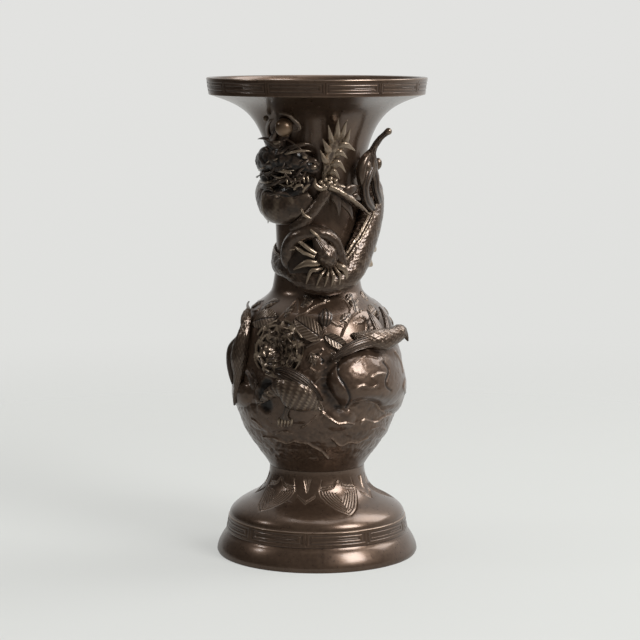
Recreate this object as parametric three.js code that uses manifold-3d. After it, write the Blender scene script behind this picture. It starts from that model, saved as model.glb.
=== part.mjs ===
// A Japanese bronze vase: a trumpet neck, a round body and a bell foot, each cast by itself, with a dragon
// wound round the neck and birds, a peony and leaves pinned over the rocks of the body.
// Millimetres, +Z up, with the origin at the middle of the standing face. An angle goes round the vase in
// degrees, with 0 at the front (-Y) and 90 at the right (+X). An offset is measured out from the wall.
import * as THREE from "three";
import { mergeVertices } from "three/addons/utils/BufferGeometryUtils.js";
import Module from "manifold-3d";

const wasm = await Module();
wasm.setup();

// Heights of the castings, one on the other
const footHeight = 86.3;
const bodyHeight = 175.4;
const neckHeight = 182.5;
const rimBandHeight = 15.8;

// Radii of the outside
const standRadius = 96.6;
const skirtRadius = 97.7;
const footBandRadius = 88;
const footShoulderRadius = 85.4;
const footNeckRadius = 46;
const bodyRadius = 79.5;
const shoulderRadius = 62;
const collarRadius = 42.5;
const neckWaistRadius = 39;
const flareRadius = 103.4;
const rimRadius = 105.6;

// Walls and joints
const wall = 3;
const rimLip = 5;
const gap = 0.3;
const skirtHeight = 21.4;
const footBandHeight = 15.2;
const domeHeight = 17.1;
const spigotLength = 8;
const basePlateRadius = 38;
const basePlateThickness = 2.4;
const rebateDepth = 4;
const flangeThickness = 7;
const flangeHoleRadius = 33;
const footRivets = 4;

// Rivets that hold the applied castings
const shankRadius = 1.4;
const rivetGrip = 2.4;
const headRadius = 2.8;
const headHeight = 1.3;
const headSeat = wall + 1.4;

const pearlRadius = 8.2;
const pearlOffset = 9.5;
const finReach = 3.4;
const finFoot = 2.6;

// Facets
const segments = 30;
const curveSteps = 4;
const pinSides = 6;

const seam = footHeight;
const collar = footHeight + bodyHeight;
const mouth = collar + neckHeight;
const bronze = { color: 0x463528, roughness: 0.38, metalness: 0.9 };
const darkBronze = { color: 0x2e2620, roughness: 0.42, metalness: 0.9 };
const goldenBronze = { color: 0x8a7350, roughness: 0.25, metalness: 0.95 };
const copper = { color: 0x8c5338, roughness: 0.4, metalness: 0.95 };

// Outside of the foot, from the standing face up to the body
function footOutline() {
  const bandTop = skirtHeight + footBandHeight;
  const domeTop = bandTop + domeHeight;
  const domeRadius = footNeckRadius + 0.55 * (footShoulderRadius - footNeckRadius);
  const path = new THREE.Path().moveTo(standRadius, 0).lineTo(skirtRadius, 2.2);
  path.bezierCurveTo(
    skirtRadius,
    skirtHeight * 0.42,
    footBandRadius + 4,
    skirtHeight - 3.5,
    footBandRadius,
    skirtHeight,
  );
  path.lineTo(footShoulderRadius, bandTop);
  path.bezierCurveTo(
    footShoulderRadius, bandTop + domeHeight * 0.6,
    domeRadius + 10, domeTop - domeHeight * 0.26,
    domeRadius, domeTop,
  );
  path.bezierCurveTo(
    footNeckRadius + 7, domeTop + domeHeight * 0.36,
    footNeckRadius, domeTop + domeHeight,
    footNeckRadius, footHeight,
  );
  return path.getPoints(curveSteps - 1);
}

// Outside of the body, from the foot up to the neck
function bodyOutline() {
  const middle = seam + bodyHeight * 0.505;
  const shoulder = collar - 20.7;
  const path = new THREE.Path().moveTo(footNeckRadius, seam);
  path.bezierCurveTo(
    footNeckRadius + 18, seam + bodyHeight * 0.166,
    bodyRadius, seam + bodyHeight * 0.195,
    bodyRadius, middle,
  );
  path.bezierCurveTo(bodyRadius, middle + 16, bodyRadius - 1.5, shoulder - 16, shoulderRadius, shoulder);
  path.bezierCurveTo(
    shoulderRadius - 10,
    shoulder + 8.3,
    collarRadius + 1,
    collar - 10,
    collarRadius,
    collar,
  );
  return path.getPoints(curveSteps);
}

// Outside of the neck, from the body up to the underside of the mouth
function neckOutline() {
  const waist = collar + neckHeight * 0.2;
  const base = new THREE.Path().moveTo(collarRadius, collar);
  base.bezierCurveTo(
    collarRadius - 1.9,
    collar + 9.5,
    neckWaistRadius,
    waist - 9,
    neckWaistRadius,
    waist,
  );
  const flare = new THREE.Path().moveTo(neckWaistRadius, waist);
  flare.bezierCurveTo(
    neckWaistRadius + 1,
    mouth - 20,
    flareRadius - 39,
    mouth - 12.5,
    flareRadius,
    mouth,
  );
  return [...base.getPoints(curveSteps - 1), ...flare.getPoints(curveSteps + 3).slice(1)];
}

// Unit normals of an outline that runs upwards, pointing away from the axis
function normalsOf(points) {
  return points.map((p, i) => {
    const before = points[Math.max(i - 1, 0)];
    const after = points[Math.min(i + 1, points.length - 1)];
    return new THREE.Vector2(after.y - before.y, before.x - after.x).normalize();
  });
}

function moved(points, distance) {
  const normals = normalsOf(points);
  return points.map((p, i) => p.clone().addScaledVector(normals[i], distance));
}

const vessel = [...footOutline(), ...bodyOutline().slice(1), ...neckOutline().slice(1)];
const vesselNormals = normalsOf(vessel);

// Radius and normal of the outer wall at a height
function wallAt(height) {
  let i = vessel.findIndex((p) => p.y >= height);
  i = i < 1 ? 1 : i;
  const low = vessel[i - 1];
  const high = vessel[i];
  const share = THREE.MathUtils.clamp((height - low.y) / (high.y - low.y), 0, 1);
  const normal = vesselNormals[i - 1].clone().lerp(vesselNormals[i], share).normalize();
  return { radius: THREE.MathUtils.lerp(low.x, high.x, share), normal };
}

function outward(angle, height) {
  const { normal } = wallAt(height);
  const a = THREE.MathUtils.degToRad(angle);
  return new THREE.Vector3(normal.x * Math.sin(a), -normal.x * Math.cos(a), normal.y);
}

function onWall(angle, height, offset = 0) {
  const a = THREE.MathUtils.degToRad(angle);
  const { radius } = wallAt(height);
  const point = new THREE.Vector3(radius * Math.sin(a), -radius * Math.cos(a), height);
  return point.addScaledVector(outward(angle, height), offset);
}

// Rocks swell out of the body. Each has its middle, measured up from the seam, its reach round and up the body,
// and its swell. A flat-topped boulder stands at the right of the front.
const rocks = [
  { angle: 41, height: 86, round: 31, up: 41, swell: 8 },
  { angle: 66, height: 66, round: 16, up: 22, swell: 7 },
  { angle: -22, height: 68, round: 24, up: 26, swell: 4.5 },
  { angle: -66, height: 70, round: 13, up: 20, swell: 5 },
  { angle: 128, height: 74, round: 30, up: 34, swell: 5 },
  { angle: 196, height: 64, round: 32, up: 28, swell: 4.5 },
  { angle: 252, height: 80, round: 24, up: 34, swell: 4 },
];
const rockFlatness = 0.42;

function swellAt(angle, height) {
  return rocks.reduce((most, rock) => {
    const round = (((angle - rock.angle + 540) % 360) - 180) / rock.round;
    const up = (height - seam - rock.height) / rock.up;
    const reach = 1 - round * round - up * up;
    return reach > 0 ? Math.max(most, rock.swell * reach ** rockFlatness) : most;
  }, 0);
}

// A closed geometry as a solid
function solidOf(geometry) {
  const bare = new THREE.BufferGeometry().setAttribute("position", geometry.getAttribute("position"));
  if (geometry.index) bare.setIndex(geometry.index);
  const merged = mergeVertices(bare, 1e-3);
  return new wasm.Manifold(new wasm.Mesh({
    numProp: 3,
    vertProperties: merged.attributes.position.array,
    triVerts: new Uint32Array(merged.index.array),
  }));
}

function geometryOf(solid) {
  const { vertProperties, triVerts } = solid.getMesh();
  const geometry = new THREE.BufferGeometry();
  geometry.setAttribute("position", new THREE.BufferAttribute(new Float32Array(vertProperties), 3));
  geometry.setIndex(new THREE.BufferAttribute(new Uint32Array(triVerts), 1));
  geometry.computeVertexNormals();
  return geometry;
}

function union(solids) {
  return solids.reduce((whole, solid) => whole.add(solid));
}

// The largest body of a solid, without the slivers that a cut leaves. Faces that share a corner belong to
// one body, and the size of a body is its volume.
function largest(solid) {
  const { vertProperties, triVerts } = solidOf(geometryOf(solid)).getMesh();
  const body = Array.from({ length: vertProperties.length / 3 }, (_, i) => i);
  const bodyOf = (i) => {
    while (body[i] !== i) i = body[i] = body[body[i]];
    return i;
  };
  triVerts.forEach((corner, j) => {
    body[bodyOf(corner)] = bodyOf(triVerts[3 * Math.floor(j / 3)]);
  });
  const volume = new Map();
  const corner = (j) => new THREE.Vector3(...vertProperties.slice(3 * triVerts[j], 3 * triVerts[j] + 3));
  for (let j = 0; j < triVerts.length; j += 3) {
    const key = bodyOf(triVerts[j]);
    volume.set(key, (volume.get(key) ?? 0) + corner(j).dot(corner(j + 1).cross(corner(j + 2))) / 6);
  }
  const [kept] = [...volume.entries()].sort((p, q) => q[1] - p[1])[0];
  return new wasm.Manifold(new wasm.Mesh({
    numProp: 3,
    vertProperties,
    triVerts: triVerts.filter((index) => bodyOf(index) === kept),
  }));
}

// A ring or disc turned from a closed outline of radius and height, swollen by the rocks if `rocky`
function turned(outline, rocky = false) {
  const geometry = new THREE.LatheGeometry(outline, segments).rotateX(Math.PI / 2);
  if (rocky) {
    const position = geometry.getAttribute("position");
    const point = new THREE.Vector3();
    for (let i = 0; i < position.count; i++) {
      point.fromBufferAttribute(position, i);
      const radius = Math.hypot(point.x, point.y);
      if (radius < wallAt(point.z).radius - wall / 2) continue;
      const angle = THREE.MathUtils.radToDeg(Math.atan2(point.x, -point.y));
      const swollen = 1 + swellAt(angle, point.z) / radius;
      position.setXYZ(i, point.x * swollen, point.y * swollen, point.z);
    }
  }
  return solidOf(geometry);
}

// An inner wall is smooth with half of the outer wall's points
const everyOther = (points) => points.filter((point, i) => i % 2 === 0);
const close = (outline) => [...outline, outline[0].clone()];
const at = (radius, height) => new THREE.Vector2(radius, height);

// Catmull-Rom value between the stations of a limb
function between(values, t) {
  const scaled = t * (values.length - 1);
  const i = Math.min(Math.floor(scaled), values.length - 2);
  const f = scaled - i;
  const last = values.length - 1;
  const [a, b, c, d] = [i - 1, i, i + 1, i + 2].map((k) => values[THREE.MathUtils.clamp(k, 0, last)]);
  return 0.5 * (2 * b + (c - a) * f + (2 * a - 5 * b + 4 * c - d) * f ** 2 + (3 * b - a - 3 * c + d) * f ** 3);
}

// Middle, directions and half sizes of a limb's section at a share of its length.
// Stations are [angle, height, offset, half width, half thickness].
function sectionAt(stations, t) {
  const value = (k, share) => between(stations.map((station) => station[k]), share);
  const middleAt = (share) => onWall(value(0, share), value(1, share), value(2, share));
  const nudge = 1e-3;
  const ahead = middleAt(Math.min(t + nudge, 1)).sub(middleAt(Math.max(t - nudge, 0))).normalize();
  const side = new THREE.Vector3().crossVectors(ahead, outward(value(0, t), value(1, t))).normalize();
  const lift = new THREE.Vector3().crossVectors(side, ahead).normalize();
  const least = 0.4;
  return {
    middle: middleAt(t), ahead, side, lift,
    width: Math.max(value(3, t), least),
    thickness: Math.max(value(4, t), least),
  };
}

// A bar that follows stations over the wall, with an elliptical section. `grown` makes it fatter all round,
// as the seat for what lies against it.
function limb(stations, { sides = 7, steps = 9, from = 0, to = 1, grown = 0 } = {}) {
  const vertices = [];
  const indices = [];
  for (let i = 0; i <= steps; i++) {
    const t = from + ((to - from) * i) / steps;
    const { middle, ahead, side, lift, width, thickness } = sectionAt(stations, t);
    if (i === 0) middle.addScaledVector(ahead, -grown);
    if (i === steps) middle.addScaledVector(ahead, grown);
    if (i === 0) vertices.push(...middle.toArray());
    for (let k = 0; k < sides; k++) {
      const turn = (2 * Math.PI * k) / sides;
      const point = middle.clone()
        .addScaledVector(side, (width + grown) * Math.cos(turn))
        .addScaledVector(lift, (thickness + grown) * Math.sin(turn));
      vertices.push(...point.toArray());
    }
    if (i === steps) vertices.push(...middle.toArray());
  }
  const ring = (i, k) => 1 + i * sides + (k % sides);
  const last = 1 + (steps + 1) * sides;
  for (let k = 0; k < sides; k++) {
    indices.push(0, ring(0, k), ring(0, k + 1));
    indices.push(last, ring(steps, k + 1), ring(steps, k));
    for (let i = 0; i < steps; i++) {
      indices.push(ring(i, k), ring(i + 1, k), ring(i, k + 1));
      indices.push(ring(i, k + 1), ring(i + 1, k), ring(i + 1, k + 1));
    }
  }
  const geometry = new THREE.BufferGeometry();
  geometry.setAttribute("position", new THREE.Float32BufferAttribute(vertices, 3));
  geometry.setIndex(indices);
  return solidOf(geometry);
}

// A row of `count` fins along a limb, `turn` radians round its section. Each is a flat four-sided cone that
// leans back along the limb.
function crest(stations, { from, to, count, turn, grown = 0 }) {
  return Array.from({ length: count }, (_, i) => {
    const t = from + ((to - from) * i) / (count - 1);
    const { middle, ahead, side, lift, width, thickness } = sectionAt(stations, t);
    const out = side.clone().multiplyScalar(width * Math.cos(turn));
    out.addScaledVector(lift, thickness * Math.sin(turn));
    const point = middle.add(out);
    const up = out.normalize().addScaledVector(ahead, -0.7).normalize();
    const across = new THREE.Vector3().crossVectors(up, ahead).normalize();
    const frame = new THREE.Matrix4().makeBasis(across, up, new THREE.Vector3().crossVectors(across, up));
    const geometry = new THREE.ConeGeometry(finFoot + grown, 2 * finReach + grown, 4).scale(0.45, 1, 1);
    return solidOf(geometry.applyMatrix4(frame.setPosition(point)));
  });
}

// A ball or egg on the wall, with half sizes round, up and out
function boss(angle, height, offset, round, up, out, { grown = 0, sides = 8 } = {}) {
  const rows = Math.max(5, sides / 2);
  const geometry = new THREE.SphereGeometry(1, sides, rows).scale(round + grown, up + grown, out + grown);
  const lift = outward(angle, height);
  const a = THREE.MathUtils.degToRad(angle);
  const side = new THREE.Vector3(Math.cos(a), Math.sin(a), 0);
  const frame = new THREE.Matrix4().makeBasis(side, new THREE.Vector3().crossVectors(lift, side), lift);
  return solidOf(geometry.applyMatrix4(frame.setPosition(onWall(angle, height, offset))));
}

// A pin or hole turned round the wall's normal, from a closed outline of radius and offset
function alongNormal(angle, height, outline) {
  const geometry = new THREE.LatheGeometry(outline, pinSides);
  const turn = new THREE.Quaternion().setFromUnitVectors(new THREE.Vector3(0, 1, 0), outward(angle, height));
  geometry.applyQuaternion(turn).translate(...onWall(angle, height).toArray());
  return solidOf(geometry);
}
const rivetOutline = [
  at(0, -headSeat - headHeight),
  at(headRadius * 0.7, -headSeat - headHeight),
  at(headRadius, -headSeat),
  at(shankRadius, -headSeat),
  at(shankRadius, rivetGrip),
  at(0, rivetGrip),
];
const holeRadius = shankRadius + gap;
const holeOutline = [
  at(0, -2 * wall),
  at(holeRadius, -2 * wall),
  at(holeRadius, rivetGrip + gap),
  at(0, rivetGrip + gap),
];

const group = new THREE.Group();
const envelopes = [];
const wallHoles = [];

function show(name, solid, finish) {
  const mesh = new THREE.Mesh(geometryOf(solid), new THREE.MeshStandardMaterial(finish));
  mesh.name = name;
  group.add(mesh);
  return solid;
}

function clearOfNeighbours(solid) {
  return envelopes.reduce((rest, other) => rest.subtract(other), solid);
}

// An applied casting. `shapes(grown)` gives its solids. What was placed before it cuts its seat, and rivets
// at [angle, height] hold it to the wall.
function applied(name, finish, shapes, rivets = []) {
  let solid = largest(largest(clearOfNeighbours(union(shapes(0)))));
  rivets.forEach(([angle, height], i) => {
    const hole = alongNormal(angle, height, holeOutline);
    solid = solid.subtract(hole);
    wallHoles.push(hole);
    const label = rivets.length > 1 ? `${name}_rivet_${i + 1}` : `${name}_rivet`;
    show(label, alongNormal(angle, height, rivetOutline), copper);
  });
  envelopes.push(union(shapes(gap)));
  return show(name, largest(largest(solid)), finish);
}

// What is pinned to a casting has its heights measured up from the casting's lower edge
function pinnedAbove(base) {
  const raised = (stations) => stations.map(([angle, height, ...rest]) => [angle, base + height, ...rest]);
  return {
    limb: (stations, options) => limb(raised(stations), options),
    crest: (stations, options) => crest(raised(stations), options),
    boss: (angle, height, ...rest) => boss(angle, base + height, ...rest),
    applied: (name, finish, shapes, rivets = []) => applied(name, finish, shapes, raised(rivets)),
  };
}
const neck = pinnedAbove(collar);
const body = pinnedAbove(seam);

// The space that the whole vessel takes, a seat gap larger, which every applied casting is cut to
function vesselEnvelope() {
  const below = [at(0, -5), at(standRadius, -5)];
  const above = [at(rimRadius, mouth), at(rimRadius, mouth + 1), at(0, mouth + 1)];
  return turned([...below, ...moved(vessel, gap), ...above], true);
}
envelopes.push(vesselEnvelope());

// The dragon's body from its tail joint, under the haunch, up the right side and behind the neck to the chest
const dragonSpine = [
  [-128, 34, 2, 8, 4],
  [-92, 25, 1.5, 9, 3],
  [-60, 21, 3, 9, 5],
  [-35, 17, 5, 9, 6],
  [-14, 8, 7, 10, 8],
  [9, 5, 8.5, 11.5, 9],
  [28, 10, 9, 13, 10],
  [44, 20, 9.5, 14.5, 10.5],
  [59, 37, 10, 15.5, 11],
  [72, 54, 11, 15, 11.5],
  [86, 71, 12, 13.5, 11.5],
  [104, 90, 11.5, 12.5, 11.5],
  [132, 105, 10.5, 12.5, 11],
  [180, 112, 9, 12.5, 10.5],
  [220, 102, 8.5, 13, 10],
  [256, 89, 7.5, 15, 10],
  [290, 81, 7, 17, 10.5],
  [318, 79, 8, 18, 11],
  [340, 83, 7, 15, 9],
  [352, 90, 5, 9, 6],
];
const coilJoint = 11 / 19;
const jointHalfGap = 0.002;
const crestTurn = 0.3 * Math.PI;

neck.applied("dragon_lower_coil", bronze, (grown) => [
  neck.limb(dragonSpine, { steps: 17, from: jointHalfGap, to: coilJoint - jointHalfGap, grown }),
  ...neck.crest(dragonSpine, { from: 0.44, to: 0.56, count: 6, turn: crestTurn, grown }),
], [[-62, 21], [84, 68]]);
neck.applied("dragon_upper_coil", bronze, (grown) => [
  neck.limb(dragonSpine, { steps: 12, from: coilJoint + jointHalfGap, grown }),
  ...neck.crest(dragonSpine, { from: 0.61, to: 0.8, count: 7, turn: crestTurn, grown }),
], [[150, 108], [-104, 89]]);
neck.applied("dragon_tail", bronze, (grown) => [
  neck.limb([
    [-128, 34, 2, 8, 4],
    [-165, 42, 4, 7.5, 5],
    [-205, 52, 5, 6, 5],
    [-238, 60, 4.5, 4.5, 4],
    [-262, 64, 4, 3, 3],
  ], { sides: 6, steps: 6, from: 0.01, grown }),
  ...[-10, 10].map((fan) => neck.limb([
    [-258, 64, 4, 3, 2],
    [-268, 65 + fan * 0.6, 4, 5, 1.8],
    [-280, 66 + fan * 1.5, 3.5, 0.6, 0.6],
  ], { sides: 4, steps: 2, grown })),
], [[-160, 41]]);

// The head looks right: skull and snout, brow, eye, nostril, cheek, lower jaw and a row of teeth
const toothFeet = [-33, -26, -19, -13];
neck.applied("dragon_head", darkBronze, (grown) => [
  neck.limb([
    [-74, 122, 5, 8, 6],
    [-40, 124, 8, 12, 9],
    [-22, 124, 10, 11.5, 10],
    [-10, 121, 10, 8.5, 8.5],
    [-3, 117, 9, 5, 5.5],
    [1, 115, 8, 2, 2.5],
  ], { steps: 8, grown }),
  neck.limb([
    [-48, 93, 7, 6, 6],
    [-29, 94, 10, 6.5, 6],
    [-15, 99, 11, 5, 5],
    [-6, 106, 10, 2.4, 2.6],
    [-4, 110, 9, 0.9, 0.9],
  ], { sides: 6, steps: 6, grown }),
  neck.limb([
    [-32, 130, 13, 1.6, 1.6], [-15, 137, 17, 2.2, 2], [-4, 135, 13, 0.6, 0.6],
  ], { sides: 4, steps: 4, grown }),
  neck.limb([
    [-40, 114, 13, 1, 1], [-28, 114, 15.5, 3.6, 2.6], [-20, 109, 12, 0.8, 0.8],
  ], { sides: 4, steps: 3, grown }),
  ...toothFeet.map((angle) => neck.limb([
    [angle, 113, 14, 1.6, 1.6],
    [angle + 1, 106, 15.5, 0.5, 0.5],
  ], { sides: 4, steps: 1, grown })),
  neck.boss(-10, 129, 15, 2.8, 2.6, 2.8, { grown, sides: 6 }),
  neck.boss(-2, 119, 12, 3.2, 3, 3.4, { grown, sides: 6 }),
  neck.boss(-22, 140, 11, 4.4, 3.4, 3.4, { grown, sides: 6 }),
  neck.boss(-57, 132, 6, 6, 5.5, 5, { grown, sides: 6 }),
], [[-50, 123], [-24, 124]]);

// Locks of the mane, from behind the jaw and brow back round the left of the neck
const maneLocks = [
  [[-40, 134, 9], [-49, 141, 9], [-66, 142, 5]],
  [[-50, 124, 9], [-70, 124, 8], [-90, 115, 4]],
  [[-50, 112, 9], [-72, 107, 8], [-92, 98, 4]],
  [[-46, 101, 9], [-70, 91, 8], [-92, 78, 4]],
  [[-37, 91, 10], [-52, 80, 10], [-82, 66, 5]],
];
neck.applied("dragon_mane", darkBronze, (grown) => [
  neck.limb([
    [-61, 141, 3, 7, 4.5], [-72, 122, 2, 8, 3], [-72, 100, 2, 8, 3], [-62, 82, 2, 6, 3],
  ], { sides: 6, steps: 5, grown }),
  ...maneLocks.map(([root, middle, tip]) => neck.limb([
    [...root, 5, 5],
    [...middle, 5, 4.5],
    [...tip, 0.8, 0.8],
  ], { sides: 4, steps: 4, grown })),
], [[-74, 112]]);

const horns = {
  dragon_horn_right: [
    [-22, 138, 13, 2.6, 2.6], [-14, 144, 16, 2.2, 2.2], [-8, 145, 14.5, 1.5, 1.5],
    [-3, 142, 12, 0.5, 0.5],
  ],
  dragon_horn_left: [
    [-34, 137, 11, 2.6, 2.6], [-43, 144, 12, 2.2, 2.2], [-54, 146, 10, 1.5, 1.5], [-68, 144, 8, 0.5, 0.5],
  ],
};
const whiskers = {
  dragon_whisker_upper: [
    [-6, 120, 15, 1.1, 1.1], [-9, 135, 19, 0.9, 0.9], [-17, 145, 18, 0.8, 0.8], [-25, 149, 13, 0.7, 0.7],
  ],
  dragon_whisker_lower: [
    [-8, 113, 15, 1.2, 1.2], [-15, 104, 18.5, 1, 1], [-23, 104, 19.5, 0.9, 0.9], [-30, 113, 18, 0.7, 0.7],
  ],
};
for (const [name, stations] of Object.entries({ ...horns, ...whiskers })) {
  neck.applied(name, darkBronze, (grown) => [neck.limb(stations, { sides: 4, steps: 5, grown })]);
}

// The paw that holds up the pearl: a forearm whose palm lies behind the ball, and four talons round it
neck.applied("pearl", goldenBronze, (grown) => [
  neck.boss(-26, 159, pearlOffset, pearlRadius, pearlRadius, pearlRadius, { grown, sides: 12 }),
]);
const talons = [
  [[-44, 143, 8, 2.8, 2.8], [-44, 152, 10, 2.3, 2.3], [-39, 163, 12, 1.8, 1.8], [-31, 171, 13, 0.5, 0.5]],
  [[-44, 143, 9, 2.6, 2.6], [-37, 150, 12.5, 3.1, 3], [-32, 157, 15, 0.6, 0.6]],
  [[-32, 143, 8, 2.3, 2.3], [-22, 148, 10, 2, 2], [-16, 154, 11, 0.5, 0.5]],
  [[-29, 170, 5, 1.8, 1.8], [-19, 171, 8, 2.1, 2.1], [-14, 163, 11, 1.7, 1.7], [-17, 156, 11, 0.5, 0.5]],
];
neck.applied("pearl_paw", darkBronze, (grown) => [
  neck.limb([
    [-39, 131, 6, 5.5, 5], [-37, 140, 7, 6, 5], [-36, 147, 5, 7.5, 4.5], [-32, 154, 1.5, 7.5, 2.4],
    [-28, 166, 2.5, 4.5, 3],
  ], { sides: 6, steps: 7, grown }),
  ...talons.map((stations) => neck.limb(stations, { sides: 4, steps: 3, grown })),
], [[-38, 134]]);

// The other foreleg reaches out of the chest across the front, its claws spread, with a flame at its wrist
const foreClaws = [
  [[9, 97, 12, 3, 3], [2, 97, 14, 2.7, 2.7], [-2, 101, 15, 1.8, 1.8], [-1, 106, 15.5, 0.5, 0.5]],
  [
    [13, 97, 12, 3.6, 3.4], [23, 93, 15, 3.2, 3], [32, 86, 17.5, 3, 2.8], [41, 78, 20, 2.3, 2.2],
    [53, 69, 22, 0.5, 0.5],
  ],
  [[15, 93, 11, 2.6, 2.5], [20, 85, 12.5, 2.4, 2.2], [23, 70, 11.5, 0.5, 0.5]],
  [[24, 89, 12, 2.6, 2.5], [31, 81, 13.5, 2.2, 2.1], [40, 65, 12, 0.5, 0.5]],
  [[9, 94, 10, 2.3, 2.2], [12, 82, 10, 0.5, 0.5]],
  [[26, 88, 15, 2, 2], [34, 97, 17, 3, 2.2], [43, 98, 15, 0.5, 0.5]],
  [[13, 102, 10, 2.2, 2], [24, 98, 13.5, 2.2, 2], [31, 92, 16, 2.2, 2]],
];
const knuckles = [[5, 103], [13, 105]];
neck.applied("reaching_foreleg", bronze, (grown) => [
  neck.limb([
    [-31, 71, 11, 7, 6], [-17, 67, 12, 6.5, 6], [-6, 75, 12, 5.6, 5.6], [3, 85, 11.5, 4.8, 4.8],
    [10, 95, 10, 6.5, 5.4], [14, 102, 8, 6.5, 4],
  ], { sides: 6, steps: 6, grown }),
  ...foreClaws.map((stations) => neck.limb(stations, { sides: 4, steps: stations.length, grown })),
  ...knuckles.map(([angle, height]) => neck.boss(angle, height, 11, 3.8, 2.8, 3, { grown, sides: 5 })),
], [[-12, 69]]);

const flameSpikes = [
  [[18, 146], [15, 168]],
  [[20, 145], [22, 165]],
  [[23, 140], [27, 155]],
  [[15, 141], [9, 160]],
  [[14, 132], [5, 145]],
  [[11, 121], [3, 133]],
  [[19, 137], [35, 134]],
  [[17, 130], [28, 127]],
  [[13, 119], [27, 112]],
];
neck.applied("wrist_flame", bronze, (grown) => [
  neck.limb([
    [10, 106, 5, 3.2, 3], [10, 114, 3, 3.3, 3], [12, 124, 3, 4.2, 3], [16, 137, 3, 6.8, 3],
    [19, 147, 3, 5.6, 2.6], [19, 153, 3, 2.6, 2],
  ], { sides: 5, steps: 6, grown }),
  ...flameSpikes.map(([foot, tip]) => neck.limb([
    [...foot, 3, 3, 2.4],
    [0.5 * (foot[0] + tip[0]), 0.5 * (foot[1] + tip[1]) + 1.5, 5, 2.2, 1.8],
    [...tip, 8, 0.5, 0.5],
  ], { sides: 4, steps: 2, grown })),
], [[16, 137]]);

// The front haunch sits in the lower coil: an arched shank, a round thigh, two toes and a fan of flames
const toes = [
  [[-19, 48, 14, 1.4, 1.4], [-10, 43, 19, 1.8, 1.8], [0, 35, 20, 1.7, 1.7]],
  [[-22, 41, 13, 1.4, 1.4], [-12, 36, 18, 1.8, 1.8], [-2, 30, 20, 1.7, 1.7]],
];
const haunchFlames = [[-23, 14], [-17, 4], [-5, -1], [8, -2], [21, 0], [33, 7]];
neck.applied("front_haunch", bronze, (grown) => [
  neck.limb([
    [-40, 30, 5, 5, 5], [-33, 42, 8, 5.5, 6], [-20, 51, 9, 6, 7], [-5, 56, 10, 6.4, 8],
    [9, 56, 10.5, 6.4, 8], [19, 48, 10.5, 6, 8], [26, 35, 10, 6, 8], [34, 23, 10, 5, 7],
  ], { sides: 6, steps: 8, grown }),
  neck.limb([
    [0, 53, 13, 2.6, 3], [4, 45, 14, 5.5, 7], [9, 36, 13, 9.5, 10], [12, 29, 12.5, 11, 11.5],
    [12, 22, 10, 8, 8],
  ], { sides: 6, steps: 4, grown }),
  neck.boss(5, 27, 4, 24, 21, 8, { grown }),
  ...toes.map((stations) => neck.limb(stations, { sides: 4, steps: 3, grown })),
  ...haunchFlames.map(([angle, height]) => neck.limb([
    [0.7 * angle + 2, 0.6 * height + 9, 12, 6, 5],
    [0.95 * angle, 0.8 * height + 3, 15.5, 4.6, 3.4],
    [angle, height, 14, 0.6, 0.6],
  ], { sides: 4, steps: 2, grown })),
], [[4, 45], [8, 26]]);

// The rear haunch clings to the right side: shin and foot enclose a narrow loop, and a claw is raised above
neck.applied("rear_haunch", bronze, (grown) => [
  neck.limb([
    [76, 76, 13, 4.4, 4.4], [57, 86, 14, 3.6, 4], [51, 97, 15, 3.6, 4], [53, 108, 15, 4, 4.4],
    [62, 115, 13, 5, 5.5],
  ], { sides: 5, steps: 5, grown }),
  neck.limb([
    [76, 76, 15, 4.4, 4.4], [76, 86, 17, 4.4, 4.4], [72, 97, 17, 4.8, 4.6], [66, 107, 15, 5, 4.6],
    [62, 115, 13, 5, 5.5],
  ], { sides: 5, steps: 5, grown }),
  neck.limb([
    [65, 106, 11, 6, 5], [62, 116, 11, 7.8, 6.5], [59, 127, 11, 5.6, 5.6], [59, 136, 12, 3.6, 3.6],
    [59, 144, 13.5, 2.9, 2.9], [60, 151, 17, 2.7, 2.7], [60, 157, 19, 2.6, 2.6],
  ], { sides: 6, steps: 7, grown }),
  neck.boss(50, 119, 12, 5, 6, 5, { grown, sides: 5 }),
  neck.boss(70, 119, 15, 4.5, 4.5, 4.5, { grown, sides: 5 }),
  neck.boss(60, 157, 19, 3.6, 3.6, 3.6, { grown, sides: 5 }),
], [[62, 122]]);

// Birds: one perched at the left with its beak up, one on the boulder with its head turned out, and a
// pheasant that pecks at the foot of the rocks
body.applied("perched_bird", darkBronze, (grown) => [
  body.limb([
    [-65, 153, 11, 0.5, 0.5], [-62, 150, 9, 2.2, 2.2], [-60, 143, 7, 4.8, 5], [-59, 137, 6, 4.6, 4.8],
    [-58, 130, 5.5, 6.4, 6.4], [-60, 119, 5, 9.6, 8], [-62, 107, 4, 9.2, 8], [-63, 94, 4, 6.4, 5],
    [-66, 80, 4, 4.2, 3], [-69, 63, 6, 0.8, 0.8],
  ], { sides: 7, steps: 9, grown }),
  body.limb([
    [-64, 126, 8, 3, 3], [-69, 116, 9, 6, 3.6], [-70, 104, 9, 6.4, 3.2], [-69, 93, 8, 4.4, 2.4],
    [-68, 84, 7, 0.8, 0.8],
  ], { sides: 4, steps: 5, grown }),
  body.limb([
    [-52, 99, 3, 2.2, 2.2], [-49, 95, 3, 2, 2], [-46, 84, 3, 3, 1.6],
  ], { sides: 4, steps: 2, grown }),
], [[-60, 116], [-63, 98]]);
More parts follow.
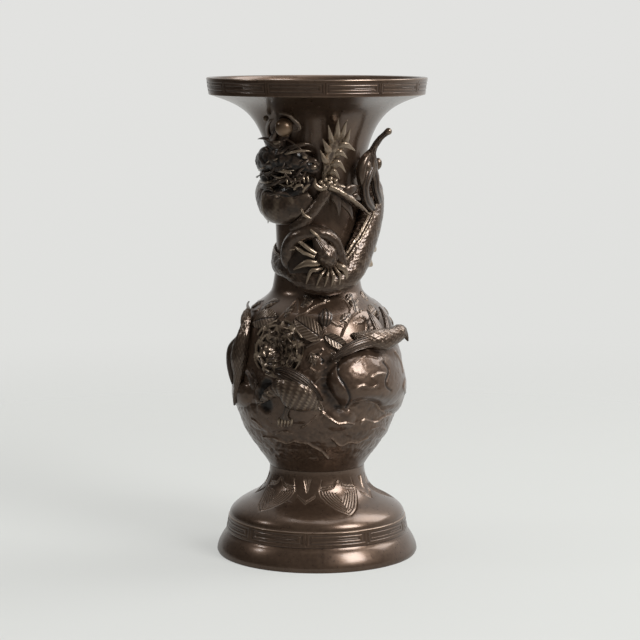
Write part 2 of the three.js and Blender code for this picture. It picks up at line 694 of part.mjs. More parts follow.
body.applied("rock_bird", bronze, (grown) => [
  body.limb([
    [27, 136, 2, 1.2, 1], [33, 132, 4, 5.4, 3], [41, 130, 6.5, 9, 6], [51, 128, 8.5, 9.4, 7.4],
    [57, 130, 12, 6.4, 5.6], [62, 132, 15, 5.4, 5.2], [64, 129, 18, 2.6, 2.4], [65, 124, 20, 0.5, 0.5],
  ], { sides: 7, steps: 9, grown }),
  body.limb([
    [41, 128, 10, 5, 3], [31, 124, 9, 5.4, 2.4], [20, 118, 8, 4.4, 2.2], [9, 111, 5, 0.8, 0.8],
  ], { sides: 4, steps: 4, grown }),
  body.limb([
    [47, 133, 10, 5, 2.8], [46, 142, 7, 5.4, 2.4], [44, 154, 4, 0.8, 0.8],
  ], { sides: 4, steps: 3, grown }),
  body.limb([
    [53, 133, 11, 5, 2.8], [60, 143, 7, 5.4, 2.4], [64, 154, 4, 0.8, 0.8],
  ], { sides: 4, steps: 3, grown }),
], [[44, 129]]);
const pheasantToes = [-26, -22, -17];
body.applied("pheasant", bronze, (grown) => [
  body.limb([
    [-43, 68, 4, 0.6, 0.6], [-37, 74, 5, 2.2, 2.2], [-32, 80, 6, 5, 5], [-27, 85, 6, 6, 5.6],
    [-21, 87, 6, 11, 8], [-14, 83, 6, 14, 9], [-7, 76, 4.5, 10.5, 6.5], [-1, 71, 2.5, 5, 3],
    [5, 68, 1.4, 1.2, 1],
  ], { sides: 7, steps: 8, grown }),
  body.limb([
    [-29, 103, 7, 3, 2.4], [-20, 102, 11, 7, 3.4], [-11, 95, 13, 8, 3.4], [-3, 85, 9, 5.4, 2.6],
    [4, 76, 5, 0.8, 0.8],
  ], { sides: 4, steps: 5, grown }),
  body.limb([
    [-19, 72, 5, 3.6, 3.6], [-21, 63, 4.5, 2.8, 2.8], [-22, 58, 3, 4.4, 2.4],
  ], { sides: 5, steps: 2, grown }),
  ...pheasantToes.map((angle) => body.limb([
    [angle, 60, 2.6, 1.4, 1.4], [angle - 1, 51, 1.6, 0.7, 0.7],
  ], { sides: 4, steps: 1, grown })),
], [[-16, 84]]);

// A peony: two rings of petals round a knot of stamens
const bloom = { angle: -26, height: 122 };
const petalRings = [
  { count: 7, reach: 22, offset: 4, half: 8 },
  { count: 4, reach: 13, offset: 7.5, half: 7 },
];
function petals({ count, reach, offset, half }, grown) {
  return Array.from({ length: count }, (_, i) => {
    const turn = (2 * Math.PI * (i + 0.5 * (count % 2))) / count;
    const out = (share) => [
      bloom.angle + THREE.MathUtils.radToDeg(reach / bodyRadius) * share * Math.cos(turn),
      bloom.height + reach * share * Math.sin(turn),
    ];
    return body.limb([
      [...out(0.15), offset + 1, half * 0.6, 2.4],
      [...out(0.6), offset, half, 2.6],
      [...out(1), offset - 2, half * 0.7, 1.6],
    ], { sides: 4, steps: 2, grown });
  });
}
body.applied("peony_bloom", darkBronze, (grown) => [
  ...petalRings.flatMap((ring) => petals(ring, grown)),
  body.boss(bloom.angle, bloom.height, 5, 8, 8, 7, { grown, sides: 6 }),
], [[bloom.angle, bloom.height]]);

// Leaves and a bud, each pinned by its middle
function leaf(name, finish, [angle, height], length, half, lean) {
  const a = THREE.MathUtils.degToRad(lean);
  const { radius } = wallAt(seam + height);
  const along = (share) => [
    angle + THREE.MathUtils.radToDeg((length * share * Math.cos(a)) / radius),
    height + length * share * Math.sin(a),
  ];
  body.applied(name, finish, (grown) => [
    body.limb([
      [...along(-0.5), 1.2, 0.8, 0.8],
      [...along(-0.28), 1.6, half * 0.85, 2.8],
      [...along(0), 1.8, half, 3.4],
      [...along(0.3), 1.6, half * 0.6, 2.8],
      [...along(0.5), 1.4, 0.6, 0.6],
    ], { sides: 5, steps: 4, grown }),
  ], [[angle, height]]);
}
leaf("left_leaf", darkBronze, [-46, 148], 28, 7, 12);
leaf("broad_leaf", bronze, [-2, 141], 30, 9, -38);
leaf("narrow_leaf", bronze, [14, 130], 27, 5.4, -32);
leaf("back_leaf_left", bronze, [208, 128], 30, 8, 30);
leaf("back_leaf_right", bronze, [156, 122], 28, 8, 160);
body.applied("peony_bud", bronze, (grown) => [
  body.boss(7, 150, 2.6, 6.8, 7.4, 4.8, { grown, sides: 7 }),
  body.limb([
    [6, 144, 1.6, 2.2, 2.2], [3, 137, 1.5, 1.8, 1.8], [-3, 129, 1.4, 1.6, 1.6], [-8, 125, 1.2, 1.4, 1.4],
  ], { sides: 4, steps: 4, grown }),
], [[7, 150]]);

// The neck casting: a tube with a spigot below and a banded mouth above
function neckCasting() {
  const outside = neckOutline();
  const inside = everyOther(moved(outside, -wall)).reverse();
  const top = mouth + rimBandHeight;
  const spigotRadius = collarRadius - wall - gap;
  const boreRadius = spigotRadius - wall;
  return turned(close([
    ...outside,
    at(rimRadius, top),
    at(rimRadius - rimLip, top),
    at(flareRadius - rimLip - 1, mouth + 6),
    ...inside.slice(1, -1),
    at(boreRadius, collar + 4),
    at(boreRadius, collar - spigotLength),
    at(spigotRadius, collar - spigotLength),
    at(spigotRadius, collar),
  ]));
}

// The body casting: a wall swollen by rocks, a collar bored for the neck's spigot, and a flange below
function bodyCasting() {
  const outside = bodyOutline();
  outside[outside.length - 1].y -= gap;
  const low = seam + flangeThickness + 2;
  const inside = moved(outside, -wall).reverse().filter((p) => p.y > low && p.y < collar - 2);
  return turned(close([
    ...outside,
    at(collarRadius - wall, collar - gap),
    ...inside,
    at(flangeHoleRadius, seam + flangeThickness),
    at(flangeHoleRadius, seam + rebateDepth),
    at(basePlateRadius + gap, seam + rebateDepth),
    at(basePlateRadius + gap, seam),
  ]), true);
}

// The foot casting: a bell with a moulded band, open below, with a lip that holds the base plate up
function footCasting() {
  const outside = footOutline();
  const top = footHeight - gap;
  outside[outside.length - 1].y = top;
  const high = footHeight - flangeThickness - 4;
  const inside = everyOther(moved(outside, -wall)).reverse().filter((p) => p.y > 4 && p.y < high);
  const lip = top + rebateDepth - basePlateThickness - gap;
  return turned(close([
    ...outside,
    at(basePlateRadius - gap, top),
    at(basePlateRadius - gap, lip),
    at(flangeHoleRadius, lip),
    at(flangeHoleRadius, top - flangeThickness),
    ...inside,
    at(standRadius - 6, 4),
    at(standRadius - 6, 0),
  ]));
}

const footRivetRadius = (basePlateRadius + footNeckRadius) / 2;
function footRivetHole(angle, radius, low, high) {
  const a = THREE.MathUtils.degToRad(angle);
  const geometry = new THREE.CylinderGeometry(radius, radius, high - low, 8).rotateX(Math.PI / 2);
  return solidOf(
    geometry.translate(footRivetRadius * Math.sin(a), -footRivetRadius * Math.cos(a), (low + high) / 2),
  );
}
const rivetAngles = Array.from({ length: footRivets }, (_, i) => 45 + (360 * i) / footRivets);
const rivetLow = seam - flangeThickness;
const rivetHigh = seam + flangeThickness - 2;
const footHoles = rivetAngles.map(
  (angle) => footRivetHole(angle, shankRadius + gap, rivetLow - 3, rivetHigh),
);
rivetAngles.forEach((angle, i) => {
  show(`foot_rivet_${i + 1}`, footRivetHole(angle, shankRadius, rivetLow, rivetHigh - gap), copper);
});

show("neck_casting", largest(neckCasting().subtract(union(wallHoles))), bronze);
show("body_casting", largest(bodyCasting().subtract(union([...wallHoles, ...footHoles]))), bronze);
show("foot_casting", largest(footCasting().subtract(union(footHoles))), bronze);
show("base_plate", turned([
  at(0, seam + rebateDepth - gap - basePlateThickness),
  at(basePlateRadius, seam + rebateDepth - gap - basePlateThickness),
  at(basePlateRadius, seam + rebateDepth - gap),
  at(0, seam + rebateDepth - gap),
]), bronze);

export default group;
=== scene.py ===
"""A patinated bronze vase: a trumpet neck, a round body and a bell foot, with a dragon wound round the neck.

Lengths are in millimetres until a mesh is written, which is in metres. A place on the vase is an angle in
degrees (0 at the front, 90 at the right), a height and an offset out from the wall along its normal. The
front of the vase is laid out on a sheet, which is the view from the camera: across and down, in steps of
about a millimetre, with (320, 320) in its middle.
"""

import logging
import math
from dataclasses import dataclass, field
from enum import Enum
from typing import Callable, Sequence

import bpy
import numpy as np
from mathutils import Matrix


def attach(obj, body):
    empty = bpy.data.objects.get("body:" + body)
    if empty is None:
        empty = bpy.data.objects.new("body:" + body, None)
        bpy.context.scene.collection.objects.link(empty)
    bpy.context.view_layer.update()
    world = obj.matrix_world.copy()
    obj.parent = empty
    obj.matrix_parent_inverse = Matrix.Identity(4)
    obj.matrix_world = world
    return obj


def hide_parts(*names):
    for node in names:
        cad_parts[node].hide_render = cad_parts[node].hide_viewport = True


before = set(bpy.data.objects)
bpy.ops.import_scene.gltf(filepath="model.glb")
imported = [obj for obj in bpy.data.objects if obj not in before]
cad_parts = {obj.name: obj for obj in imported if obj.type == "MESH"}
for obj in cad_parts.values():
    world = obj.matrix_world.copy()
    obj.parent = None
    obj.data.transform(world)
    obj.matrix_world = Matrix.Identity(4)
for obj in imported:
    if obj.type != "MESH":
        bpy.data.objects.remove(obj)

log = logging.getLogger("vase")
Array = np.ndarray
Displace = Callable[[Array, Array], Array]
MM = 0.001
SEED_STEP = 37.1
HASH = (374761393, 668265263, 2147483647, 1274126177)
WORD = 0xFFFFFFFF
TALL = 3.0
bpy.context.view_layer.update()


@dataclass(frozen=True)
class Viewpoint:
    """The eye that the front of the vase is drawn from.

    distance and height place it in millimetres, pitch is its dip in radians, focal is in sheet steps, and
    axis is where the vase's axis stands across the sheet. A sight line is read from `before` to `beyond` the
    axis in a number of samples. Newton's steps look a nudge aside, take a share of the step at a pace, and
    are held to a stride and to the limit of the angle.
    """

    distance: float = 2033.5
    height: float = 505.3
    pitch: float = 0.1362
    focal: float = 2120.5
    axis: float = 317.0
    sheet: float = 640.0
    before: float = 180.0
    beyond: float = 30.0
    samples: int = 4200
    rounds: int = 25
    nudge: float = 0.5
    pace: float = 0.7
    stride: float = 8.0
    limit: float = 95.0

    def project(self, points: Array) -> tuple[Array, Array]:
        """Where points show on the sheet.

        depth = (y + D) cos p - (z - h) sin p and up = (z - h) cos p + (y + D) sin p, and the sheet place
        is the axis plus focal x / depth across, and the middle less focal up / depth down.

        Args:
            points: an array of points whose last axis is x, y, z in millimetres.

        Returns:
            The places across and down the sheet.
        """
        c, s = math.cos(self.pitch), math.sin(self.pitch)
        back = points[..., 1] + self.distance
        rise = points[..., 2] - self.height
        depth = back * c - rise * s
        down = self.sheet / 2 - self.focal * (rise * c + back * s) / depth
        return self.axis + self.focal * points[..., 0] / depth, down

    def meet(self, across: float, down: float, offset: float, wall: "Wall") -> tuple[float, float]:
        """The angle and height whose place at an offset shows at a point of the sheet, or nearest to it.

        The sight line is followed to the wall, and Newton's steps then take up the lean of the normal.

        Args:
            across: the place across the sheet.
            down: the place down the sheet.
            offset: how far out from the wall the line is stopped.
            wall: the wall of the vase.

        Returns:
            The angle in degrees and the height in millimetres.
        """
        c, s = math.cos(self.pitch), math.sin(self.pitch)
        dx, dy = (across - self.axis) / self.focal, (self.sheet / 2 - down) / self.focal
        line = np.array([dx, c + dy * s, dy * c - s])
        reach = np.linspace(self.distance - self.before, self.distance + self.beyond, self.samples)[:, None]
        points = np.array([0.0, -self.distance, self.height]) + reach * line
        gap = np.hypot(points[:, 0], points[:, 1]) - wall.radius(points[:, 2]) - offset
        i = int(np.argmax(gap < 0)) if (gap < 0).any() else int(np.argmin(gap))
        x, y, z = points[i]
        here = np.array([math.degrees(math.atan2(x, -y)), z])
        best, least = here, np.inf
        for _ in range(self.rounds):
            nudged = np.array([here, here + [self.nudge, 0], here + [0, self.nudge]])
            shown = np.stack(self.project(wall.place(nudged[:, 0], nudged[:, 1], offset)), axis=-1)
            miss = np.array([across, down]) - shown[0]
            if np.hypot(*miss) < least:
                best, least = here, float(np.hypot(*miss))
            step = np.linalg.lstsq((shown[1:] - shown[0]).T / self.nudge, miss, rcond=0.05)[0]
            here = here + self.pace * np.clip(step, -self.stride, self.stride)
            here[0] = np.clip(here[0], -self.limit, self.limit)
        return float(best[0]), float(best[1])


@dataclass(frozen=True)
class Wall:
    """The outside of the vessel as radius against height.

    Each curve is a cubic Bezier, given by its four (radius, height) control points, from the foot up.
    """

    curves: tuple = (
        ((96.6, 0), (97.0, 0.8), (97.4, 1.5), (97.7, 2.2)),
        ((97.7, 2.2), (98.0, 7.8), (90.9, 19.8), (88.0, 21.4)),
        ((88.0, 21.4), (87.1, 26.5), (86.3, 31.5), (85.4, 36.6)),
        ((85.4, 36.6), (85.6, 41.2), (81.4, 46.6), (67.6, 53.7)),
        ((67.6, 53.7), (52.9, 60.2), (46.0, 70.7), (46.0, 86.3)),
        ((46.0, 86.3), (64.1, 115.7), (79.5, 120.8), (79.5, 175)),
        ((79.5, 175), (79.5, 191.2), (78.0, 225.0), (62.0, 241.0)),
        ((62, 241), (51.9, 249.1), (43.5, 252.3), (42.5, 262)),
        ((42.5, 262), (40.6, 271.3), (39.0, 289.1), (39.0, 298)),
        ((39, 298), (42.1, 424.9), (63.0, 431.2), (103.4, 444.2)),
        ((103.4, 444.2), (104.1, 449.5), (104.9, 454.7), (105.6, 460)),
    )
    radii: Array = field(init=False, repr=False)
    heights: Array = field(init=False, repr=False)
    slopes: Array = field(init=False, repr=False)

    def __post_init__(self) -> None:
        """Samples the curves: b = (1-t)^3 p0 + 3 (1-t)^2 t p1 + 3 (1-t) t^2 p2 + t^3 p3."""
        t = np.linspace(0, 1, 49)[:, None]
        runs = [
            (1 - t) ** 3 * p[0] + 3 * (1 - t) ** 2 * t * p[1] + 3 * (1 - t) * t * t * p[2] + t**3 * p[3]
            for p in np.array(self.curves, float)
        ]
        line = np.vstack([runs[0]] + [run[1:] for run in runs[1:]])
        object.__setattr__(self, "radii", line[:, 0])
        object.__setattr__(self, "heights", line[:, 1])
        slopes = np.gradient(line[:, 0]) / np.maximum(np.gradient(line[:, 1]), 1e-6)
        object.__setattr__(self, "slopes", slopes)

    def radius(self, z: Array) -> Array:
        """The wall's radius at each height."""
        return np.interp(z, self.heights, self.radii)

    def normal(self, z: Array) -> tuple[Array, Array]:
        """The outward and upward parts of the unit normal: (1, -r') / sqrt(1 + r'^2)."""
        slope = np.interp(z, self.heights, self.slopes)
        size = np.sqrt(1 + slope**2)
        return 1 / size, -slope / size

    def place(self, angle: Array, z: Array, offset: Array) -> Array:
        """Points at an angle, height and offset: x = (r + o n_r) sin a, y = -(r + o n_r) cos a, z + o n_z."""
        out, up = self.normal(z)
        r = self.radius(z) + offset * out
        a = np.radians(angle)
        return np.stack(np.broadcast_arrays(r * np.sin(a), -r * np.cos(a), z + offset * up), axis=-1)

    def outward(self, angle: Array, z: Array) -> Array:
        """The unit normal at an angle and height."""
        out, up = self.normal(z)
        a = np.radians(angle)
        return np.stack(np.broadcast_arrays(out * np.sin(a), -out * np.cos(a), up), axis=-1)


VIEW = Viewpoint()
WALL = Wall()


class Kind(Enum):
    """How a station of a limb gives its place."""

    SHEET = "sheet"
    WALL = "wall"


@dataclass
class Skin:
    """A closed surface: its points, its quads and triangles, and its relief from 0 (hollow) to 1 (high)."""

    points: Array
    quads: Array
    triangles: Array
    relief: Array

    @staticmethod
    def joined(skins: Sequence["Skin"]) -> "Skin":
        """Several surfaces as one."""
        starts = np.cumsum([0] + [len(s.points) for s in skins[:-1]])
        return Skin(
            np.concatenate([s.points for s in skins]),
            np.concatenate([s.quads + n for s, n in zip(skins, starts)]),
            np.concatenate([s.triangles + n for s, n in zip(skins, starts)]),
            np.concatenate([s.relief for s in skins]),
        )

    def faced_out(self) -> "Skin":
        """This surface with faces turned so that its volume, the sum of a . (b x c) / 6, is positive."""
        tris = np.concatenate([self.triangles, self.quads[:, [0, 1, 2]], self.quads[:, [0, 2, 3]]])
        a, b, c = (self.points[tris[:, k]] for k in range(3))
        if float(np.einsum("ij,ij->i", a, np.cross(b, c)).sum()) < 0:
            return Skin(self.points, self.quads[:, ::-1], self.triangles[:, ::-1], self.relief)
        return self


def ring_quads(rows: int, columns: int, closed_rows: bool) -> Array:
    """The quads of a grid whose columns close on themselves, and whose rows do if closed_rows."""
    i = np.arange(rows if closed_rows else rows - 1)[:, None]
    j = np.arange(columns)[None, :]
    nxt, right = (i + 1) % rows, (j + 1) % columns
    corners = [i * columns + j, i * columns + right, nxt * columns + right, nxt * columns + j]
    return np.stack(np.broadcast_arrays(*corners), axis=-1).reshape(-1, 4)


def torus(points: Array, relief: Array) -> Skin:
    """A grid of points that closes both ways."""
    rows, columns = points.shape[:2]
    skin = Skin(points.reshape(-1, 3), ring_quads(rows, columns, True), np.zeros((0, 3), int), relief.ravel())
    return skin.faced_out()


def tube(points: Array, relief: Array) -> Skin:
    """A grid whose columns close on themselves, with a pole at the middle of each end ring."""
    rows, columns = points.shape[:2]
    j = np.arange(columns)
    ends = [points[0].mean(axis=0), points[-1].mean(axis=0)]
    first, last = rows * columns, rows * columns + 1
    low = np.stack([np.full(columns, first), (j + 1) % columns, j], axis=-1)
    top = (rows - 1) * columns
    high = np.stack([np.full(columns, last), top + j, top + (j + 1) % columns], axis=-1)
    return Skin(
        np.concatenate([points.reshape(-1, 3), ends]),
        ring_quads(rows, columns, False),
        np.concatenate([low, high]),
        np.concatenate([relief.ravel(), [relief[0].mean(), relief[-1].mean()]]),
    ).faced_out()


def slab(front: Array, back: Array, relief: Array) -> Skin:
    """A patch with a front and a back grid of the same size, closed round its four edges."""
    rows, columns = front.shape[:2]
    i, j = np.arange(rows - 1)[:, None] * columns, np.arange(columns - 1)[None, :]
    corners = [i + j, i + j + 1, i + columns + j + 1, i + columns + j]
    face = np.stack(np.broadcast_arrays(*corners), axis=-1).reshape(-1, 4)
    n = rows * columns
    a, b = np.arange(columns - 1), np.arange(rows - 1)
    low = np.stack([a + 1, a, n + a, n + a + 1], axis=-1)
    t = (rows - 1) * columns
    high = np.stack([t + a, t + a + 1, n + t + a + 1, n + t + a], axis=-1)
    this, after = b * columns, (b + 1) * columns
    left = np.stack([this, after, n + after, n + this], axis=-1)
    r = columns - 1
    right = np.stack([after + r, this + r, n + this + r, n + after + r], axis=-1)
    quads = np.concatenate([face, face[:, ::-1] + n, low, high, left, right])
    points = np.concatenate([front.reshape(-1, 3), back.reshape(-1, 3)])
    values = np.concatenate([relief.ravel(), np.zeros(n)])
    return Skin(points, quads, np.zeros((0, 3), int), values).faced_out()


def write_mesh(name: str, skin: Skin, material: bpy.types.Material, sharp: float = 50.0) -> bpy.types.Object:
    """Makes an object of a surface, with its relief as an attribute.

    Args:
        name: the object's name.
        skin: the surface, in millimetres.
        material: its finish.
        sharp: the angle in degrees from which an edge is drawn as an edge.

    Returns:
        The object, linked to the scene.
    """
    mesh = bpy.data.meshes.new(name)
    quads, tris = skin.quads, skin.triangles
    mesh.vertices.add(len(skin.points))
    mesh.vertices.foreach_set("co", (skin.points * MM).astype(np.float32).ravel())
    mesh.loops.add(quads.size + tris.size)
    mesh.loops.foreach_set("vertex_index", np.concatenate([quads.ravel(), tris.ravel()]).astype(np.int32))
    mesh.polygons.add(len(quads) + len(tris))
    starts = np.concatenate([np.arange(len(quads)) * 4, quads.size + np.arange(len(tris)) * 3])
    mesh.polygons.foreach_set("loop_start", starts.astype(np.int32))
    mesh.update(calc_edges=True)
    mesh.polygons.foreach_set("use_smooth", np.ones(len(mesh.polygons), bool))
    mesh.set_sharp_from_angle(angle=math.radians(sharp))
    attribute = mesh.attributes.new("relief", "FLOAT", "POINT")
    attribute.data.foreach_set("value", np.clip(skin.relief, 0, 1).astype(np.float32))
    mesh.materials.append(material)
    obj = bpy.data.objects.new(name, mesh)
    bpy.context.scene.collection.objects.link(obj)
    return obj


def smooth(x: Array) -> Array:
    """The step 3 x^2 - 2 x^3 between 0 and 1."""
    x = np.clip(x, 0, 1)
    return x * x * (3 - 2 * x)


def ridge(distance: Array, width: float) -> Array:
    """A rounded ridge, 1 at its middle: exp(-(distance / width)^2)."""
    return np.exp(-((distance / width) ** 2))


def noise(points: Array, size: float, seed: int = 0) -> Array:
    """Smooth random values from -1 to 1 that change over about `size`: trilinear between hashed corners."""
    p = np.asarray(points, float) / size + SEED_STEP * seed
    cell = np.floor(p).astype(np.int64)
    f = smooth(p - cell)
    total = np.zeros(p.shape[:-1])
    for corner in range(8):
        step = np.array([corner & 1, corner >> 1 & 1, corner >> 2 & 1])
        c = cell + step
        h = (c[..., 0] * HASH[0] + c[..., 1] * HASH[1] + c[..., 2] * HASH[2]) & WORD
        h = ((h ^ (h >> 13)) * HASH[3]) & WORD
        weight = np.prod(np.where(step == 1, f, 1 - f), axis=-1)
        total += weight * (h / WORD * 2 - 1)
    return total


def spline(values: Array, t: Array) -> Array:
    """Catmull-Rom values between equally spaced stations, for t from 0 to 1."""
    k = len(values) - 1
    scaled = np.clip(t, 0, 1) * k
    i = np.minimum(scaled.astype(int), k - 1)
    f = (scaled - i)[:, None]
    a, b, c, d = (values[np.clip(i + n, 0, k)] for n in (-1, 0, 1, 2))
    return 0.5 * (2 * b + (c - a) * f + (2 * a - 5 * b + 4 * c - d) * f**2 + (3 * b - a - 3 * c + d) * f**3)


def stations(rows: Sequence[Sequence[float]], kind: Kind) -> Array:
    """Stations as angle, height, offset, half width and half thickness, whichever way they are given."""
    table = np.array(rows, float)
    if kind is Kind.SHEET:
        for row in table:
            row[0], row[1] = VIEW.meet(row[0], row[1], row[2], WALL)
    return table


def limb(
    rows: Sequence[Sequence[float]],
    kind: Kind = Kind.SHEET,
    steps: int = 60,
    sides: int = 32,
    displace: Displace | None = None,
    relief: float = 0.5,
) -> Skin:
    """A bar that follows stations over the wall, with a section of half width w and half thickness h.

    The section is an ellipse. The displacement moves a point along the section's own normal, and half of it
    in millimetres shows as relief, or less where a fin or fold stands more than about TALL, so that raised
    places are painted paler, as wear and painted highlight, and sunk ones darker, as patina and painted
    shade.

    Args:
        rows: the stations: a place, an offset, a half width and a half thickness.
        kind: how the places are given.
        steps: rings along the bar.
        sides: points round it.
        displace: millimetres outwards for each distance along the bar and angle round it.
        relief: the relief value of the undisturbed surface, which sets its colour from the painted shade of
            hollows to the wear and painted highlight of high places.

    Returns:
        The closed surface.
    """
    t = np.linspace(0, 1, steps)
    data = spline(stations(rows, kind), t)
    angle, height, offset = data[:, 0], data[:, 1], data[:, 2]
    width, thick = np.maximum(data[:, 3], 0.05), np.maximum(data[:, 4], 0.05)
    centre = WALL.place(angle, height, offset)
    up = WALL.outward(angle, height)
    ahead = np.gradient(centre, axis=0)
    ahead /= np.maximum(np.linalg.norm(ahead, axis=1, keepdims=True), 1e-9)
    side = np.cross(ahead, up)
    side /= np.maximum(np.linalg.norm(side, axis=1, keepdims=True), 1e-9)
    lift = np.cross(side, ahead)
    turn = np.linspace(0, 2 * np.pi, sides, endpoint=False)[None, :]
    c, s = np.cos(turn), np.sin(turn)
    across, out = (width[:, None] * c)[..., None], (thick[:, None] * s)[..., None]
    points = centre[:, None] + across * side[:, None] + out * lift[:, None]
    values = np.full(points.shape[:2], relief)
    if displace is not None:
        run = np.concatenate([[0], np.cumsum(np.linalg.norm(np.diff(centre, axis=0), axis=1))])[:, None]
        moved = np.broadcast_to(displace(run + 0 * turn, turn + 0 * run), points.shape[:2])
        sideways, outwards = (c * thick[:, None])[..., None], (s * width[:, None])[..., None]
        normal = sideways * side[:, None] + outwards * lift[:, None]
        normal /= np.maximum(np.linalg.norm(normal, axis=-1, keepdims=True), 1e-9)
        points = points + moved[..., None] * normal
        values = np.clip(values + moved / 2 * ridge(moved, TALL), 0, 1)
    return tube(points, values)


def ball(
    across: float, down: float, offset: float, size: Sequence[float], sides: int = 40, relief: float = 0.7
) -> Skin:
    """An egg on the wall with half sizes round the vase, up it and out from it."""
    angle, height = VIEW.meet(across, down, offset, WALL)
    centre = WALL.place(np.array(angle), np.array(height), np.array(offset))
    lift = WALL.outward(np.array(angle), np.array(height))
    a = math.radians(angle)
    side = np.array([math.cos(a), math.sin(a), 0])
    rise = np.cross(lift, side)
    pole = 0.04
    polar = np.linspace(pole, np.pi - pole, sides // 2)[:, None, None]
    turn = np.linspace(0, 2 * np.pi, sides, endpoint=False)[None, :, None]
    x, y, z = np.sin(polar) * np.cos(turn), np.sin(polar) * np.sin(turn), np.cos(polar) + 0 * turn
    points = centre + size[0] * x * side + size[1] * y * rise + size[2] * z * lift
    return tube(points, np.full(points.shape[:2], relief))


def scale_rows(length: float, breadth: float, girth: float, height: float) -> Displace:
    """Overlapping scales: two staggered rows of discs, each rising towards its free edge.

    With f running 0 to 2 along a scale and g from -1 to 1 across it, a disc is 1 - g^2 - (f - 1)^2 and its
    height is (0.3 + 0.35 f) times the square root of that, and the higher of the two rows shows.
    """

    def lift(run: Array, turn: Array) -> Array:
        """The higher of two rows of discs."""
        best = np.zeros(np.broadcast(run, turn).shape)
        for k in (0, 1):
            f = (run / length + k) % 2
            g = ((turn * girth / breadth + 0.5 * k) % 1 - 0.5) * 2
            disc = np.sqrt(np.clip(1 - g * g - (f - 1) ** 2, 0, 1))
            best = np.maximum(best, (0.3 + 0.35 * f) * disc)
        return height * (best - 0.4)

    return lift


def hair_lines(count: int, depth: float) -> Displace:
    """Lines that run along a bar: -depth (0.5 + 0.5 cos(count a))^3 for the angle a round it."""
    return lambda run, turn: -depth * (0.5 + 0.5 * np.cos(count * turn)) ** 3 + 0 * run


def cross_rings(pitch: float, depth: float) -> Displace:
    """Rings round a bar: depth times the square root of |sin(pi s / pitch)|, less depth."""
    return lambda run, turn: depth * (np.sqrt(np.abs(np.sin(np.pi * run / pitch))) - 1) + 0 * turn


def plumage(length: float, breadth: float, girth: float, height: float) -> Displace:
    """Overlapping feathers: scales drawn long, with a fine line down the middle of each."""
    scales = scale_rows(length, breadth, girth, height)

    def lift(run: Array, turn: Array) -> Array:
        """The feathers with their fine lines."""
        barbs = 0.16 * height * np.cos(2 * np.pi * (turn * girth / breadth * 3 + run / length))
        return scales(run, turn) + barbs

    return lift


def dragon_hide(girth: float) -> Displace:
    """Scales over the flank, fins along the back, and broad plates on the belly between raised lines.

    With a the angle round the bar over pi, the belly runs from a = 0.99 to 1.45 between lines at 0.97 and
    1.47, a third line is at 0.87, and the fins stand at 0.1. Each belly plate rises as the square root of
    its share of the pitch, with a narrow rib in its middle.
    """
    plate, fin = 8.6, 17
    hide = added(scale_rows(2.8, 3.0, girth, 0.42), pitted(4.0, 0.3, girth, 21))

    def lift(run: Array, turn: Array) -> Array:
        """Scales or belly plates, with the lines and the fins on top."""
        a = turn / np.pi
        belly = smooth((a - 0.99) / 0.03) * smooth((1.45 - a) / 0.04)
        share = run / plate % 1
        plates = 0.5 * np.sqrt(share) - 0.3 + 0.8 * ridge(share - 0.5, 0.07)
        lines = 1.3 * ridge(a - 0.97, 0.022) + 0.7 * ridge(a - 0.87, 0.02) + 0.7 * ridge(a - 1.47, 0.03)
        standing = smooth((run - 150) / 8) * smooth((205 - run) / 8)
        fins = 5.0 * ridge(a - 0.1, 0.09) * np.clip(np.sin(2 * np.pi * run / fin), 0, 1) ** 0.6 * standing
        return hide(run, turn) * (1 - belly) + plates * belly + lines + fins

    return lift


def pitted(size: float, depth: float, girth: float, seed: int = 0) -> Displace:
    """Lumps and pits as of old casting: noise of the given size, and 0.45 of it at 0.4 of the size."""

    def lift(run: Array, turn: Array) -> Array:
        """Noise at the place of each point in a straight bar."""
        places = np.stack(np.broadcast_arrays(run, girth * np.cos(turn), girth * np.sin(turn)), axis=-1)
        return depth * (noise(places, size, seed) + 0.45 * noise(places, 0.4 * size, seed + 1))

    return lift


def faded(lift: Displace, start: float, end: float, before: float, after: float) -> Displace:
    """A displacement whose share goes from before to after between two distances along the bar."""
    return lambda run, turn: lift(run, turn) * (
        before + (after - before) * smooth((run - start) / (end - start))
    )


def added(*lifts: Displace) -> Displace:
    """Several displacements, one on top of the other."""
    return lambda run, turn: sum(lift(run, turn) for lift in lifts)


def hollowed(depth: float, lines: int = 0) -> Displace:
    """A trough along the outer side, which leaves raised edges, and fine lines beside it.

    The trough is depth exp(-((a - pi/2) / 0.5)^2) for the angle a round the bar.
    """

    def lift(run: Array, turn: Array) -> Array:
        """The trough, with the fine lines where there are any."""
        trough = -depth * ridge(turn - np.pi / 2, 0.5)
        return trough - 0.2 * depth * (0.5 + 0.5 * np.cos(lines * turn)) * (lines > 0) + 0 * run

    return lift


def leaf_veins(half: float) -> Displace:
    """A raised midrib and side veins, 3 mm apart, that run slantwise over the outer side of a leaf."""

    def lift(run: Array, turn: Array) -> Array:
        """The rib and the veins, where the surface faces out."""
        across = np.abs(np.cos(turn)) * half
        outer = np.sin(turn) > 0
        rib = 0.5 * ridge(across, 0.9)
        veins = 0.3 * np.cos(2 * np.pi * (run - 0.8 * across) / 3.0)
        return outer * (rib + veins)

    return lift


